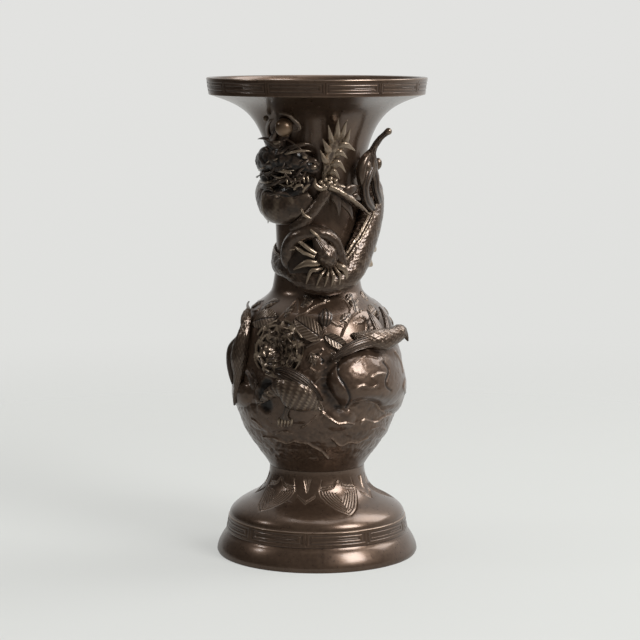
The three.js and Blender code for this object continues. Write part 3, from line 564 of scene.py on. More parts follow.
def blade(
    across: float,
    down: float,
    turn: float,
    length: float,
    breadth: float,
    offsets: Sequence[float],
    cup: float = 0.0,
    ruffle: float = 0.0,
    vein: float = 0.0,
    tip: float = 0.8,
    thick: float = 1.4,
    columns: int = 33,
    scallop: float = 0.0,
    blunt: float = 0.7,
) -> Skin:
    """A leaf or petal that lies over the wall from its root.

    For v from 0 to 1 along it and u from -1 to 1 across, the half breadth is that of the widest place times
    sin(pi v^tip)^blunt and the offset runs between the given ones. Added to it are a cup u^2, a ruffle
    sin(7 u) v^2 and veins, the cosine of the distance along less 0.9 times the distance across.

    Args:
        across: the root's place across the sheet.
        down: the root's place down the sheet.
        turn: the way it points, in degrees from the right, turning up.
        length: root to tip in millimetres.
        breadth: half breadth in millimetres.
        offsets: offsets at the root, the middle and the tip.
        cup: how far the edges rise.
        ruffle: the height of the waves at the outer edge.
        vein: the depth of the veins.
        tip: below 1 the widest place is nearer the root, above 1 nearer the tip.
        thick: thickness.
        columns: points across.
        scallop: how deep the lobes of the outer edge are, as a share of the length.
        blunt: the power of the outline, less for a broader end.

    Returns:
        The closed surface.
    """
    angle, height = VIEW.meet(across, down, offsets[0], WALL)
    v = np.linspace(0.015, 0.985, int(columns * 1.3))[:, None]
    u = np.linspace(-1, 1, columns)[None, :]
    half = breadth * np.sin(np.pi * v**tip) ** blunt
    along, side = length * v * (1 - scallop * v**2 * (1 - np.abs(np.cos(5.5 * u)))), half * u
    c, s = math.cos(math.radians(turn)), math.sin(math.radians(turn))
    base = spline(np.array(offsets, float)[:, None], v[:, 0])
    lines = np.cos(2 * np.pi * (along - 0.9 * np.abs(side)) / 3.4)
    middle = ridge(side, 0.55)
    wave = ruffle * np.sin(7 * u + 3 * v)
    rise = base + cup * u**2 + wave * v**2 + vein * (0.35 * lines * (1 - middle) - 1.1 * middle)
    z = height + along * s + side * c
    theta = angle + np.degrees((along * c - side * s) / (WALL.radius(z) + 3))
    values = np.clip(0.6 + vein * (0.3 * lines - middle) + 0.25 * wave * v, 0, 1)
    return slab(WALL.place(theta, z, rise), WALL.place(theta, z, rise - thick), values)


def polyline_distance(x: Array, y: Array, line: Sequence[Sequence[float]]) -> Array:
    """The distance of each (x, y) from a line through the given points."""
    best = np.full(np.broadcast(x, y).shape, 1e9)
    for (ax, ay), (bx, by) in zip(line[:-1], line[1:]):
        dx, dy = bx - ax, by - ay
        t = np.clip(((x - ax) * dx + (y - ay) * dy) / max(dx * dx + dy * dy, 1e-9), 0, 1)
        best = np.minimum(best, np.hypot(x - ax - t * dx, y - ay - t * dy))
    return best


def curve_points(points: Sequence[Sequence[float]], count: int = 14) -> list:
    """A smooth line through a few points."""
    return spline(np.array(points, float), np.linspace(0, 1, count)).tolist()


def srgb(code: str) -> tuple[float, float, float, float]:
    """A hex colour as linear light: ((c + 0.055) / 1.055)^2.4, or c / 12.92 when dark."""
    channels = [int(code[i : i + 2], 16) / 255 for i in (1, 3, 5)]
    return (*[c / 12.92 if c <= 0.04045 else ((c + 0.055) / 1.055) ** 2.4 for c in channels], 1.0)


def add(
    tree: bpy.types.NodeTree, kind: str, inputs: dict | None = None, **settings: object
) -> bpy.types.Node:
    """Adds a node with its settings, and links or sets its inputs."""
    node = tree.nodes.new(kind)
    for key, value in settings.items():
        setattr(node, key, value)
    for key, value in (inputs or {}).items():
        if isinstance(value, bpy.types.NodeSocket):
            tree.links.new(value, node.inputs[key])
        else:
            node.inputs[key].default_value = value
    return node


def calc(tree: bpy.types.NodeTree, operation: str, *values: object) -> bpy.types.NodeSocket:
    """The result of a sum on its values."""
    return add(tree, "ShaderNodeMath", dict(enumerate(values)), operation=operation).outputs[0]


def ramp(
    tree: bpy.types.NodeTree, value: object, low: float, high: float, top: float = 1.0, bottom: float = 0.0
) -> bpy.types.NodeSocket:
    """The bottom amount up to the low value, changing to the top amount at the high one."""
    inputs = {"Value": value, "From Min": low, "From Max": high, "To Min": bottom, "To Max": top}
    return add(tree, "ShaderNodeMapRange", inputs).outputs["Result"]


def mix(tree: bpy.types.NodeTree, amount: object, first: object, second: object) -> bpy.types.NodeSocket:
    """The first colour turned into the second by an amount."""
    return add(tree, "ShaderNodeMix", {0: amount, 6: first, 7: second}, data_type="RGBA").outputs[2]


def emptied(owner: bpy.types.Material | bpy.types.World) -> bpy.types.NodeTree:
    """The node tree of a new material or world, without its first nodes."""
    owner.use_nodes = True
    owner.node_tree.nodes.clear()
    return owner.node_tree


@dataclass(frozen=True)
class PatinatedBronze:
    """Cast bronze under a waxed brown patina, bright with wear on the high places.

    The eye sees a dark brown with a cool, soft sheen. Its hollows are painted near black, partly as the
    patina that gathers there and partly as painted shade; its high places and edges a paler brown, partly as
    wear and partly as painted highlight.
    """

    name: str = "patinated cast bronze, waxed"
    ground: str = "#5C493B"
    cloud: str = "#443429"
    speck: str = "#705B4A"
    hollow: str = "#1E1610"
    wear_and_highlight: str = "#8C7766"
    roughness: float = 0.27
    metallic: float = 0.7
    wax: float = 0.5
    wax_roughness: float = 0.16
    cloud_mm: float = 30.0
    speck_mm: float = 3.5
    grain_mm: float = 0.5
    grain_depth: float = 0.04
    even: bool = False

    def make(self) -> bpy.types.Material:
        """Builds the material: colour follows the relief, and mottling comes from two sizes of noise."""
        material = bpy.data.materials.new(self.name)
        tree = emptied(material)
        place = add(tree, "ShaderNodeTexCoord").outputs["Object"]

        def noise_at(size_mm: float, detail: float) -> bpy.types.NodeSocket:
            """Noise whose clouds are about this size, fixed to the object."""
            inputs = {"Vector": place, "Scale": 1 / (size_mm * MM), "Detail": detail}
            return add(tree, "ShaderNodeTexNoise", inputs).outputs["Fac"]

        relief = 0.5
        if not self.even:
            relief = add(tree, "ShaderNodeAttribute", attribute_name="relief").outputs["Fac"]
        fine = noise_at(self.speck_mm, 6.0)
        # painted shade: low relief mixes in the hollow colour, partly the patina of the hollows and partly
        # shade painted into the recesses
        deep = ramp(tree, relief, 0.5, 0.12)
        clouds = ramp(tree, noise_at(self.cloud_mm, 4.0), 0.35, 0.7, 0.6)
        colour = mix(tree, clouds, srgb(self.ground), srgb(self.cloud))
        colour = mix(tree, ramp(tree, fine, 0.4, 0.75, 0.35), colour, srgb(self.speck))
        # painted highlight: high relief mixes in the pale colour, partly wear and partly highlight painted on
        # raised places and edges
        colour = mix(tree, ramp(tree, relief, 0.56, 0.95, 0.85), colour, srgb(self.wear_and_highlight))
        colour = mix(tree, deep, colour, srgb(self.hollow))
        dull = calc(tree, "ADD", ramp(tree, fine, 0.3, 0.7, 0.12), deep)
        grain = {"Height": noise_at(self.grain_mm, 2.0), "Strength": 0.3, "Distance": self.grain_depth * MM}
        shader = add(tree, "ShaderNodeBsdfPrincipled", {
            "Base Color": colour,
            "Metallic": self.metallic,
            "Roughness": calc(tree, "MULTIPLY_ADD", dull, 0.5, self.roughness),
            "Coat Weight": self.wax,
            "Coat Roughness": self.wax_roughness,
            "Normal": add(tree, "ShaderNodeBump", grain).outputs["Normal"],
        })
        add(tree, "ShaderNodeOutputMaterial", {"Surface": shader.outputs["BSDF"]})
        return material


CHASED = PatinatedBronze(
    name="patinated cast bronze, chased",
    ground="#4F4136",
    hollow="#1A130E",
    wear_and_highlight="#A8957F",
    grain_depth=0.08,
)
PLAIN = PatinatedBronze(name="patinated cast bronze, plain", ground="#4F4136", even=True)
GOLDEN = PatinatedBronze(
    name="golden polished bronze",
    ground="#8A715A",
    cloud="#745D48",
    speck="#96806A",
    hollow="#4E3C2C",
    wear_and_highlight="#A48B6E",
    roughness=0.42,
    metallic=0.9,
    grain_depth=0.02,
)
COPPER = PatinatedBronze(
    name="hammered copper",
    ground="#8C5338",
    cloud="#6A3E2A",
    speck="#A0694C",
    roughness=0.4,
    even=True,
)


@dataclass(frozen=True)
class PlainStage:
    """Matt paper round the foot, which fades into the pale room.

    Where it is seen, straight or in a mirror, a share of its brightness is even and the rest takes the
    light and the vase's shadow. In the bronze its even share falls to dim against the way of away, towards
    the dark front and left of the room. The paper fades out between the near and the far distance in metres.
    """

    name: str = "matt paper"
    colour: str = "#C0C1BE"
    even: float = 0.6
    dim: float = 0.25
    near: float = 0.5
    far: float = 1.5
    away: tuple = (0.8, 0.6, 0.0)

    def make(self) -> bpy.types.Material:
        """Builds the material: paper near the vase, turning clear with the distance from it."""
        material = bpy.data.materials.new(self.name)
        tree = emptied(material)
        path = add(tree, "ShaderNodeLightPath").outputs
        straight = calc(tree, "MAXIMUM", path["Is Camera Ray"], path["Is Glossy Ray"])
        seen = calc(tree, "MAXIMUM", straight, path["Is Transmission Ray"])
        share = calc(tree, "MULTIPLY", seen, self.even)
        place = add(tree, "ShaderNodeTexCoord").outputs["Object"]
        far = add(tree, "ShaderNodeVectorMath", {0: place}, operation="LENGTH").outputs["Value"]
        limits = {"Value": far, "From Min": self.near, "From Max": self.far}
        fade = add(tree, "ShaderNodeMapRange", limits, interpolation_type="SMOOTHSTEP").outputs["Result"]
        matt = add(tree, "ShaderNodeBsdfDiffuse", {"Color": srgb(self.colour)}).outputs["BSDF"]
        toward = add(tree, "ShaderNodeVectorMath", {0: place, 1: self.away}, operation="DOT_PRODUCT")
        dimmed = ramp(tree, toward.outputs["Value"], -0.3, 0.4, 0.0, 1 - self.dim)
        kept = calc(tree, "SUBTRACT", 1.0, calc(tree, "MULTIPLY", path["Is Glossy Ray"], dimmed))
        light = {"Color": srgb(PaleRoom.low), "Strength": kept}
        glow = add(tree, "ShaderNodeEmission", light).outputs["Emission"]
        paper = add(tree, "ShaderNodeMixShader", {0: share, 1: matt, 2: glow}).outputs["Shader"]
        clear = add(tree, "ShaderNodeBsdfTransparent").outputs["BSDF"]
        surface = add(tree, "ShaderNodeMixShader", {0: fade, 1: paper, 2: clear}).outputs["Shader"]
        add(tree, "ShaderNodeOutputMaterial", {"Surface": surface})
        return material


@dataclass(frozen=True)
class PaleRoom:
    """A pale backdrop behind the vase, a darker half round the camera and a plain ambient light."""

    top: str = "#E2E2E0"
    low: str = "#DEDFDC"
    front: str = "#64625F"
    left: str = "#2E2C2A"
    ambient: float = 0.42

    def make(self) -> bpy.types.World:
        """Builds the world.

        Camera and transmission rays see the backdrop. Glossy rays see it where they head away from the
        camera's side, and darker walls where they head towards it or far to the left. All other rays get the
        ambient light.
        """
        world = bpy.data.worlds.new("pale room")
        tree = emptied(world)
        path = add(tree, "ShaderNodeLightPath").outputs
        heading = add(tree, "ShaderNodeTexCoord").outputs["Generated"]
        parts = add(tree, "ShaderNodeSeparateXYZ", {0: heading}).outputs
        pale = mix(tree, ramp(tree, parts["Z"], -0.28, 0.0), srgb(self.low), srgb(self.top))
        walls = mix(tree, ramp(tree, parts["X"], -0.95, -0.4), srgb(self.left), srgb(self.front))
        away = ramp(tree, parts["Y"], -0.25, 0.35)
        behind = calc(tree, "MULTIPLY", away, ramp(tree, parts["X"], -0.75, -0.2))
        seen = calc(tree, "MAXIMUM", path["Is Camera Ray"], path["Is Transmission Ray"])
        direct, mirrored, plain = (
            add(tree, "ShaderNodeBackground", {"Color": colour, "Strength": strength}).outputs[0]
            for colour, strength in (
                (pale, 1.0), (mix(tree, behind, walls, pale), 1.0), (srgb(self.top), self.ambient),
            )
        )
        shown = add(tree, "ShaderNodeMixShader", {0: path["Is Glossy Ray"], 1: plain, 2: mirrored}).outputs[0]
        final = add(tree, "ShaderNodeMixShader", {0: seen, 1: shown, 2: direct}).outputs[0]
        add(tree, "ShaderNodeOutputWorld", {"Surface": final})
        return world


@dataclass
class Finishes:
    """The finishes of the vase, made once."""

    vessel: bpy.types.Material = field(default_factory=lambda: PatinatedBronze().make())
    ornament: bpy.types.Material = field(default_factory=lambda: CHASED.make())
    plain: bpy.types.Material = field(default_factory=lambda: PLAIN.make())
    pearl: bpy.types.Material = field(default_factory=lambda: GOLDEN.make())
    rivet: bpy.types.Material = field(default_factory=lambda: COPPER.make())


def fitted(obj: bpy.types.Object, slot: str, *nodes: str) -> None:
    """Rides a piece on the vase and hides the nodes it stands for."""
    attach(obj, "root")
    if nodes:
        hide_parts(*nodes)
    log.info("%s: %d faces", obj.name, len(obj.data.polygons))


@dataclass(frozen=True)
class KeyFret:
    """A key fret of long panels, each a nest of raised lines, between two plain edges of a band.

    low and high are the heights of the panels' border, radius is the wall's, and the first panel starts at
    the angle shift. Every panel is a squared spiral: each of its loops is open at one end. The lines lie a
    pitch apart, the first one an inset from the border.
    """

    low: float
    high: float
    radius: float
    panels: int
    shift: float
    pitch: float = 2.85
    inset: float = 0.9
    depth: float = 0.4
    wide: float = 0.85

    def lines(self, angle: Array, z: Array) -> Array:
        """1 on a line and 0 between lines.

        With d the distance inside the panel's border, times wide at its ends so that the upright lines stand
        further apart, a line is where cos(2 pi (d - inset) / pitch) is high.
        The opening is a strip along the panel's middle height, at its left end.
        """
        width = 2 * math.pi * self.radius / self.panels
        x = (((angle - self.shift) * self.panels / 360) % 1 - 0.5) * width
        y = z - 0.5 * (self.low + self.high)
        inside = np.minimum(self.wide * (width / 2 - np.abs(x)), (self.high - self.low) / 2 - np.abs(y))
        bars = smooth(1.6 * np.cos(2 * np.pi * (inside - self.inset) / self.pitch) + 0.7)
        opened = (x < 0) & (np.abs(y) < 0.5 * self.pitch) & (inside > 0.9 * self.pitch)
        return np.where(opened, 0.15, bars) * smooth(inside / 0.3)

    def rise(self, angle: Array, z: Array) -> Array:
        """The ground between the lines, sunk by the depth."""
        within = smooth((z - self.low) / 0.5) * smooth((self.high - z) / 0.5)
        return -self.depth * within * (1 - self.lines(angle, z))


@dataclass
class Vessel:
    """The three castings of the vessel, neck, body and foot, and the two bands with a key fret.

    The heights are those of the joint of foot and body, the collar, the mouth's band and the foot's band.
    bore is the spigot's outer radius.
    """

    finishes: Finishes
    thickness: float = 3.0
    body_low: float = 86.3
    collar: float = 262.0
    mouth: float = 444.2
    top: float = 460.0
    band_low: float = 21.4
    band_high: float = 36.6
    bore: float = 39.0
    gap: float = 0.3
    sharp: float = 60.0

    def shell(self, z: Array, angles: Array, relief: Callable, inner: Sequence[Sequence[float]]) -> Skin:
        """A casting turned about the axis, with relief on its outside.

        Args:
            z: heights of the outer rows, going up.
            angles: angles of the columns.
            relief: millimetres outwards for each angle and height, in all and of the fine work alone.
            inner: (radius, height) of the inner rows, going down.

        Returns:
            The closed surface.
        """
        a, h = np.meshgrid(angles, z)
        rise, fine = relief(a, h)
        outer = WALL.place(a, h, rise)
        turn = np.radians(angles)[None, :]
        r, low = np.array(inner, float)[:, :1], np.array(inner, float)[:, 1:]
        inside = np.stack(np.broadcast_arrays(r * np.sin(turn), -r * np.cos(turn), low), axis=-1)
        # the fine work sets the relief colour: sunk places are painted dark, partly patina and partly painted
        # shade, and raised ones pale, partly wear and partly painted highlight
        values = np.concatenate([np.clip(0.5 + fine / 3.2, 0, 1), np.full(inside.shape[:2], 0.45)])
        return torus(np.concatenate([outer, inside]), values)

    def inside(self, low: float, high: float, count: int) -> list:
        """Rows of the inner wall from high down to low."""
        z = np.linspace(high, low, count)
        out, up = WALL.normal(z)
        return np.stack([WALL.radius(z) - self.thickness * out, z - self.thickness * up], axis=-1).tolist()

    def turned(self, columns: int) -> Array:
        """Evenly spaced angles all round."""
        return np.linspace(-180, 180, columns, endpoint=False)

    def neck(self) -> None:
        """The trumpet neck up to the underside of the banded mouth, with its spigot."""
        z = np.concatenate([np.linspace(self.collar, 400, 40), np.linspace(402, self.mouth, 40)])
        bore, low = self.bore - self.thickness, self.collar - 8
        inner = [(98.5, self.mouth), (98.0, self.mouth + 4)] + self.inside(self.collar + 6, 438, 40)
        inner += [(bore, self.collar), (bore, low), (self.bore, low), (self.bore, self.collar)]
        skin = self.shell(z, self.turned(256), lambda a, h: (0 * a, 0 * a), inner)
        fitted(write_mesh("neck", skin, self.finishes.vessel), "patina_bronze", "neck_casting")

    def mouth_band(self) -> None:
        """The band of the mouth, with a key fret between two plain edges."""
        z = np.linspace(self.mouth - 0.6, self.top, 54)
        fret = KeyFret(low=self.mouth + 1.8, high=self.top - 2.2, radius=104.5, panels=12, shift=4.0)

        def band(a: Array, h: Array) -> tuple[Array, Array]:
            """The fret in a band whose upper edge is rounded, with its edges painted pale, partly as wear and
            partly as painted highlight.
            """
            rise = fret.rise(a, h)
            # painted highlight: pale lines along the upper and lower edge, partly wear and partly the edges'
            # highlight
            edge_highlight_and_wear = ridge(h - self.top + 0.6, 0.5) + ridge(h - self.mouth - 0.4, 0.5)
            return rise - 0.5 * smooth((h - self.top + 0.8) / 0.8), rise + 1.2 * edge_highlight_and_wear

        inner = [
            (105.0, self.top), (101.0, self.top), (99.6, self.top - 0.9),
            (98.0, self.mouth + 8), (97.6, self.mouth + 1), (99.0, self.mouth - 0.8),
        ]
        skin = self.shell(z, self.turned(1600), band, inner)
        fitted(write_mesh("mouth_band", skin, self.finishes.vessel, self.sharp), "patina_bronze")

    def body(self) -> None:
        """The body, with its rocks, ground lines, stems and leaves in relief."""
        angles = np.concatenate([np.linspace(-92, 92, 310), np.linspace(92, 268, 92)[1:-1]])
        z = np.linspace(self.body_low, self.collar, 218)
        inner = self.inside(self.body_low + 9, self.collar - 3, 24)
        inner += [(33, self.body_low + 7), (33, self.body_low)]
        skin = self.shell(z, angles, BodyRelief().height, inner)
        fitted(write_mesh("body", skin, self.finishes.vessel), "patina_bronze", "body_casting")

    def foot(self) -> None:
        """The bell foot, with engraved lappets over its dome."""
        top = self.body_low - self.gap
        spans = (
            (0, self.band_low, 10), (self.band_low + 0.2, self.band_high, 3),
            (self.band_high + 0.3, 47, 6), (47.5, top, 66),
        )
        z = np.concatenate([np.linspace(*span) for span in spans])
        inner = [(38, top), (38, 80), (40, 78)] + self.inside(6, 76, 10)[2:] + [(90.6, 3), (90.6, 0)]
        skin = self.shell(z, self.turned(980), FootRelief().height, inner)
        fitted(write_mesh("foot", skin, self.finishes.vessel), "patina_bronze", "foot_casting")

    def foot_band(self) -> None:
        """The band of the foot, with a key fret between two plain edges."""
        z = np.linspace(self.band_low, self.band_high, 54)
        fret = KeyFret(
            low=self.band_low + 1.8, high=self.band_high - 1.4, radius=87.2, panels=9, shift=-7.0, wide=0.55
        )

        def band(a: Array, h: Array) -> tuple[Array, Array]:
            """The fret on a band that stands 0.9 mm proud, with rounded edges and the upper one painted pale,
            partly as wear and partly as painted highlight.
            """
            edge = np.sqrt(np.clip(h - self.band_low, 0, 1) * np.clip(self.band_high - h, 0, 1))
            rise = fret.rise(a, h)
            # painted highlight: a pale line along the upper edge, partly wear and partly the edge's highlight
            return 0.9 * edge + rise, rise + 2.0 * ridge(h - self.band_high + 0.4, 0.45)

        inner = [(84.4, self.band_high), (86.0, 28), (86.6, self.band_low)]
        skin = self.shell(z, self.turned(1700), band, inner)
        fitted(write_mesh("foot_band", skin, self.finishes.vessel, self.sharp), "patina_bronze")

    def build(self) -> None:
        """Makes every piece of the vessel."""
        self.neck()
        self.mouth_band()
        self.body()
        self.foot()
        self.foot_band()


@dataclass(frozen=True)
class Stroke:
    """A ridge (positive rise) or groove along a smooth line on the sheet."""

    line: tuple
    width: float
    rise: float

    def lift(self, x: Array, y: Array) -> Array:
        """rise (1 - (d / width)^2)^2 within the width of the line, and nothing outside it."""
        near = 1 - (polyline_distance(x, y, curve_points(self.line)) / self.width) ** 2
        return self.rise * np.clip(near, 0, 1) ** 2


@dataclass(frozen=True)
class Mound:
    """A swelling of the wall on the sheet: middle, half sizes, rise and the turn of its long way."""

    x: float
    y: float
    across: float
    down: float
    rise: float
    turn: float = 0.0
    power: float = 0.5

    def lift(self, x: Array, y: Array) -> Array:
        """rise (1 - u^2 - v^2)^power, for u and v along the mound's own two ways."""
        a = math.radians(self.turn)
        dx, dy = x - self.x, y - self.y
        u = (dx * math.cos(a) + dy * math.sin(a)) / self.across
        v = (dy * math.cos(a) - dx * math.sin(a)) / self.down
        return self.rise * np.clip(1 - u * u - v * v, 0, 1) ** self.power


@dataclass(frozen=True)
class Plateau:
    """A swelling with a drawn edge on the sheet, which rises from the edge as a quarter of a circle.

    Its top is domed: the crown is the dome's own rise, over the peak and as far as the reach across, up
    and down.
    """

    outline: tuple
    rise: float
    shoulder: float
    crown: float
    peak: tuple
    reach: tuple

    def lift(self, x: Array, y: Array) -> Array:
        """(rise + crown (1 - u^2 - v^2)) sqrt(1 - (1 - s)^2).

        s is the share of the shoulder's breadth between edge and point, and u and v are the point's
        distances from the peak over the two reaches.
        """
        edge = curve_points((*self.outline, self.outline[0]), 3 * len(self.outline))
        inside = np.zeros(x.shape, bool)
        for (ax, ay), (bx, by) in zip(edge[:-1], edge[1:]):
            if ay != by:
                inside ^= ((ay > y) != (by > y)) & (x < ax + (y - ay) * (bx - ax) / (by - ay))
        share = np.clip(polyline_distance(x, y, edge) / self.shoulder, 0, 1)
        across, up, down = self.reach
        steep = np.where(y < self.peak[1], up, down)
        dome = 1 - ((x - self.peak[0]) / across) ** 2 - ((y - self.peak[1]) / steep) ** 2
        return (self.rise + self.crown * np.clip(dome, 0, 1)) * inside * np.sqrt(1 - (1 - share) ** 2)


def oval(root: Sequence[float], tip: Sequence[float], half: float) -> tuple:
    """The outline of a leaf between its root and its tip."""
    dx, dy = tip[0] - root[0], tip[1] - root[1]
    size = math.hypot(dx, dy)
    nx, ny = -dy / size * half, dx / size * half
    stops = ((0.0, 0.0), (0.35, 1.0), (0.7, 0.75), (1.0, 0.0), (0.7, -0.75), (0.35, -1.0), (0.0, 0.0))
    return tuple(
        (root[0] + along * dx + side * nx, root[1] + along * dy + side * ny) for along, side in stops
    )


BOULDER = (
    (329, 372), (326.5, 381), (331, 392), (338, 402), (345, 411), (351, 403), (356, 401), (366, 400.5),
    (376, 403), (384, 411.5), (393, 408), (400, 396), (403.5, 382), (403, 366), (399, 352), (392, 345),
    (383, 341), (374, 342), (362, 348), (350, 353), (340, 360),
)


@dataclass
class BodyRelief:
    """The relief of the body, drawn on the sheet for the front and repeated in calmer form behind."""

    blend: float = 1.6
    boldness: float = 1.25
    behind: float = 0.6
    low: float = 92.0
    high: float = 256.0
    mounds: tuple = (
        Plateau(BOULDER, 3.0, 9, 12.0, (364, 387), (48, 36, 20)),
        Mound(397, 394, 13, 19, 6.5, 10, 0.7),
        Mound(392, 360, 13, 20, 4.0, 0, 0.8),
        Mound(286, 396, 32, 28, 4.0, 20, 0.6),
        Mound(302, 402, 20, 22, 7.0, 10, 0.9),
        Mound(243, 394, 10, 13, 5.5, 0, 0.6),
        Mound(262, 418, 22, 12, 2.4, 25, 0.8),
        Mound(339, 419, 17, 12, 5.0, -8, 1.0),
        Mound(366, 430, 24, 11, 2.0, 0, 0.9),
        Mound(318, 422, 26, 12, 1.6, 10, 0.9),
        Mound(300, 440, 34, 9, 1.1, 0, 1.0),
        Mound(345, 446, 24, 8, 1.0, 0, 1.0),
    )
    strokes: tuple = (
        # painted shade: the two broad grooves, left of the boulder and by the pheasant's head, are painted
        # dark as shadowed hollows through the relief colour
        Stroke(((328, 362), (323.5, 380), (327, 394), (334, 405), (343, 415)), 8.0, -0.7),
        Stroke(((268, 384), (265, 394), (268, 405)), 9.0, -1.6),
        Stroke(((377, 362), (380, 370), (375.7, 379), (376, 385), (380, 388.5)), 1.5, -0.9),
        Stroke(((351.7, 401.7), (359, 398.5), (367, 401), (375, 403), (379, 409), (383.5, 412)), 1.36, 1.27),
        Stroke(((364, 376), (369, 372.5), (376, 372.5)), 1.2, 0.83),
        Stroke(((345.5, 407), (346, 396), (342, 385), (336, 373), (338, 362)), 1.8, -1.0),
        Stroke(((350, 386), (357, 383), (362, 386), (368, 383)), 1.04, 0.6),
        Stroke(((391, 352), (396, 362), (395, 372)), 1.2, 0.9),
        Stroke(((396, 378), (393, 386), (397, 392)), 1.2, 0.9),
        Stroke(((352, 362), (362, 356), (372, 358)), 1.12, 0.52),
        Stroke(((322, 412), (330, 417.5), (338, 421.7), (346, 421), (353, 423.4)), 1.36, 1.2),
        Stroke(((360, 423), (364, 419), (368, 420), (375, 421.7), (383, 417), (391, 414)), 1.28, 1.05),
        Stroke((
            (331.7, 438), (337, 443), (341.7, 445), (349, 441), (356.7, 442.5), (362, 440), (366.7, 436.7),
        ), 1.28, 0.98),
        Stroke((
            (263, 436.7), (272, 437), (280, 440), (288, 443), (294, 439.5), (300, 441.7), (307, 442),
            (313, 446.7), (320, 450), (328, 458),
        ), 1.36, 1.05),
        Stroke(((253, 418), (258, 421), (263, 426.7)), 1.12, 0.9),
        Stroke(((300, 428), (308, 423), (316.7, 415)), 1.2, 0.9),
        Stroke(((276, 434), (284, 431), (292, 433)), 1.04, 0.68),
        Stroke(((370, 428), (378, 426), (384, 429)), 1.04, 0.68),
        Stroke(((271, 326), (277, 320), (284, 313)), 1.04, 0.9),
        Stroke(((290, 308), (297, 299), (299, 305), (298.3, 311.7)), 1.04, 0.9),
        Stroke(((293.3, 321.7), (298, 316), (305, 313), (315, 306), (325, 302.5)), 1.04, 0.98),
        Stroke(((341.7, 335), (345, 327), (349, 320), (355, 314), (363, 310)), 1.12, 0.98),
        Stroke(((349, 315), (352, 308), (358, 300)), 1.04, 0.9),
        Stroke(((337, 296), (345, 301), (350, 309)), 1.04, 0.75),
        Stroke(((331.7, 321.7), (337, 325), (343, 326)), 1.04, 0.75),
        Stroke(((323.3, 323), (325, 330), (323.3, 335), (318, 342)), 1.2, 1.05),
        Stroke(((306, 345), (313, 344), (322, 340)), 1.04, 0.83),
        Stroke(((303, 372), (310, 368), (314, 360), (320, 354)), 1.04, 0.75),
        Stroke(((310, 368), (318, 372), (326, 368)), 1.04, 0.75),
        Stroke(((314, 384), (320, 378), (328, 377)), 0.96, 0.68),
        Stroke(((316, 354), (323, 360), (322, 363)), 1.3, -0.9),
        Stroke(oval((306.7, 361), (323, 349), 4.5), 0.8, 0.68),
        Stroke(((308, 360), (321, 350.5)), 0.9, -0.7),
        Stroke(oval((367, 331), (379, 311), 5.0), 0.88, 0.83),
        Stroke(oval((372, 312), (385, 301), 4.0), 0.88, 0.83),
        Stroke(oval((386, 325), (393, 307), 4.0), 0.88, 0.83),
        Stroke(oval((252, 311), (262, 302), 3.0), 0.88, 0.83),
        Stroke(oval((331, 300), (320, 296), 2.6), 0.8, 0.68),
        Stroke(oval((354, 322), (366, 318), 3.2), 0.8, 0.68),
        Stroke(((252, 326.5), (270, 328), (292, 326.5)), 1.2, -1.0),
    )

    def front(self, x: Array, y: Array) -> tuple[Array, Array]:
        """The mounds, blended, with the strokes over them, and the strokes alone.

        Rises m blend into b ln(1 + sum(exp(m / b) - 1)), where b is the blend in millimetres.
        """
        total = np.ones(x.shape)
        for mound in self.mounds:
            total = total + np.exp(mound.lift(x, y) / self.blend) - 1
        rise = self.blend * np.log(total)
        fine = np.zeros(x.shape)
        for stroke in self.strokes:
            fine = fine + self.boldness * stroke.lift(x, y)
        return rise + fine, fine

    def height(self, angle: Array, z: Array) -> tuple[Array, Array]:
        """Relief in millimetres for each angle and height, in all and of the fine work alone.

        Behind, the drawing is read as if the vase had been turned half round, at a share of its rise. The
        relief ends between the low and the high height.
        """
        turned = (angle + 180) % 360 - 180
        flat = WALL.place(turned, z, 0 * z)
        x, y = VIEW.project(flat)
        bx, by = VIEW.project(flat * np.array([-1.0, -1.0, 1.0]))
        weight = smooth((100 - np.abs(turned)) / 20)
        (rise, fine), (back, back_fine) = self.front(x, y), self.front(bx, by)
        rise = weight * rise + self.behind * (1 - weight) * back
        fine = weight * fine + self.behind * (1 - weight) * back_fine
        rough = noise(flat, 5.0, 1) * 0.4 + noise(flat, 2.2, 2) * 0.3
        edge = smooth((z - self.low) / 10) * smooth((self.high - z) / 6)
        texture = rough * (0.9 - 0.45 * smooth((rise - fine) / 4.0)) * smooth((225 - z) / 25)
        return edge * (rise + texture), edge * (fine + texture)


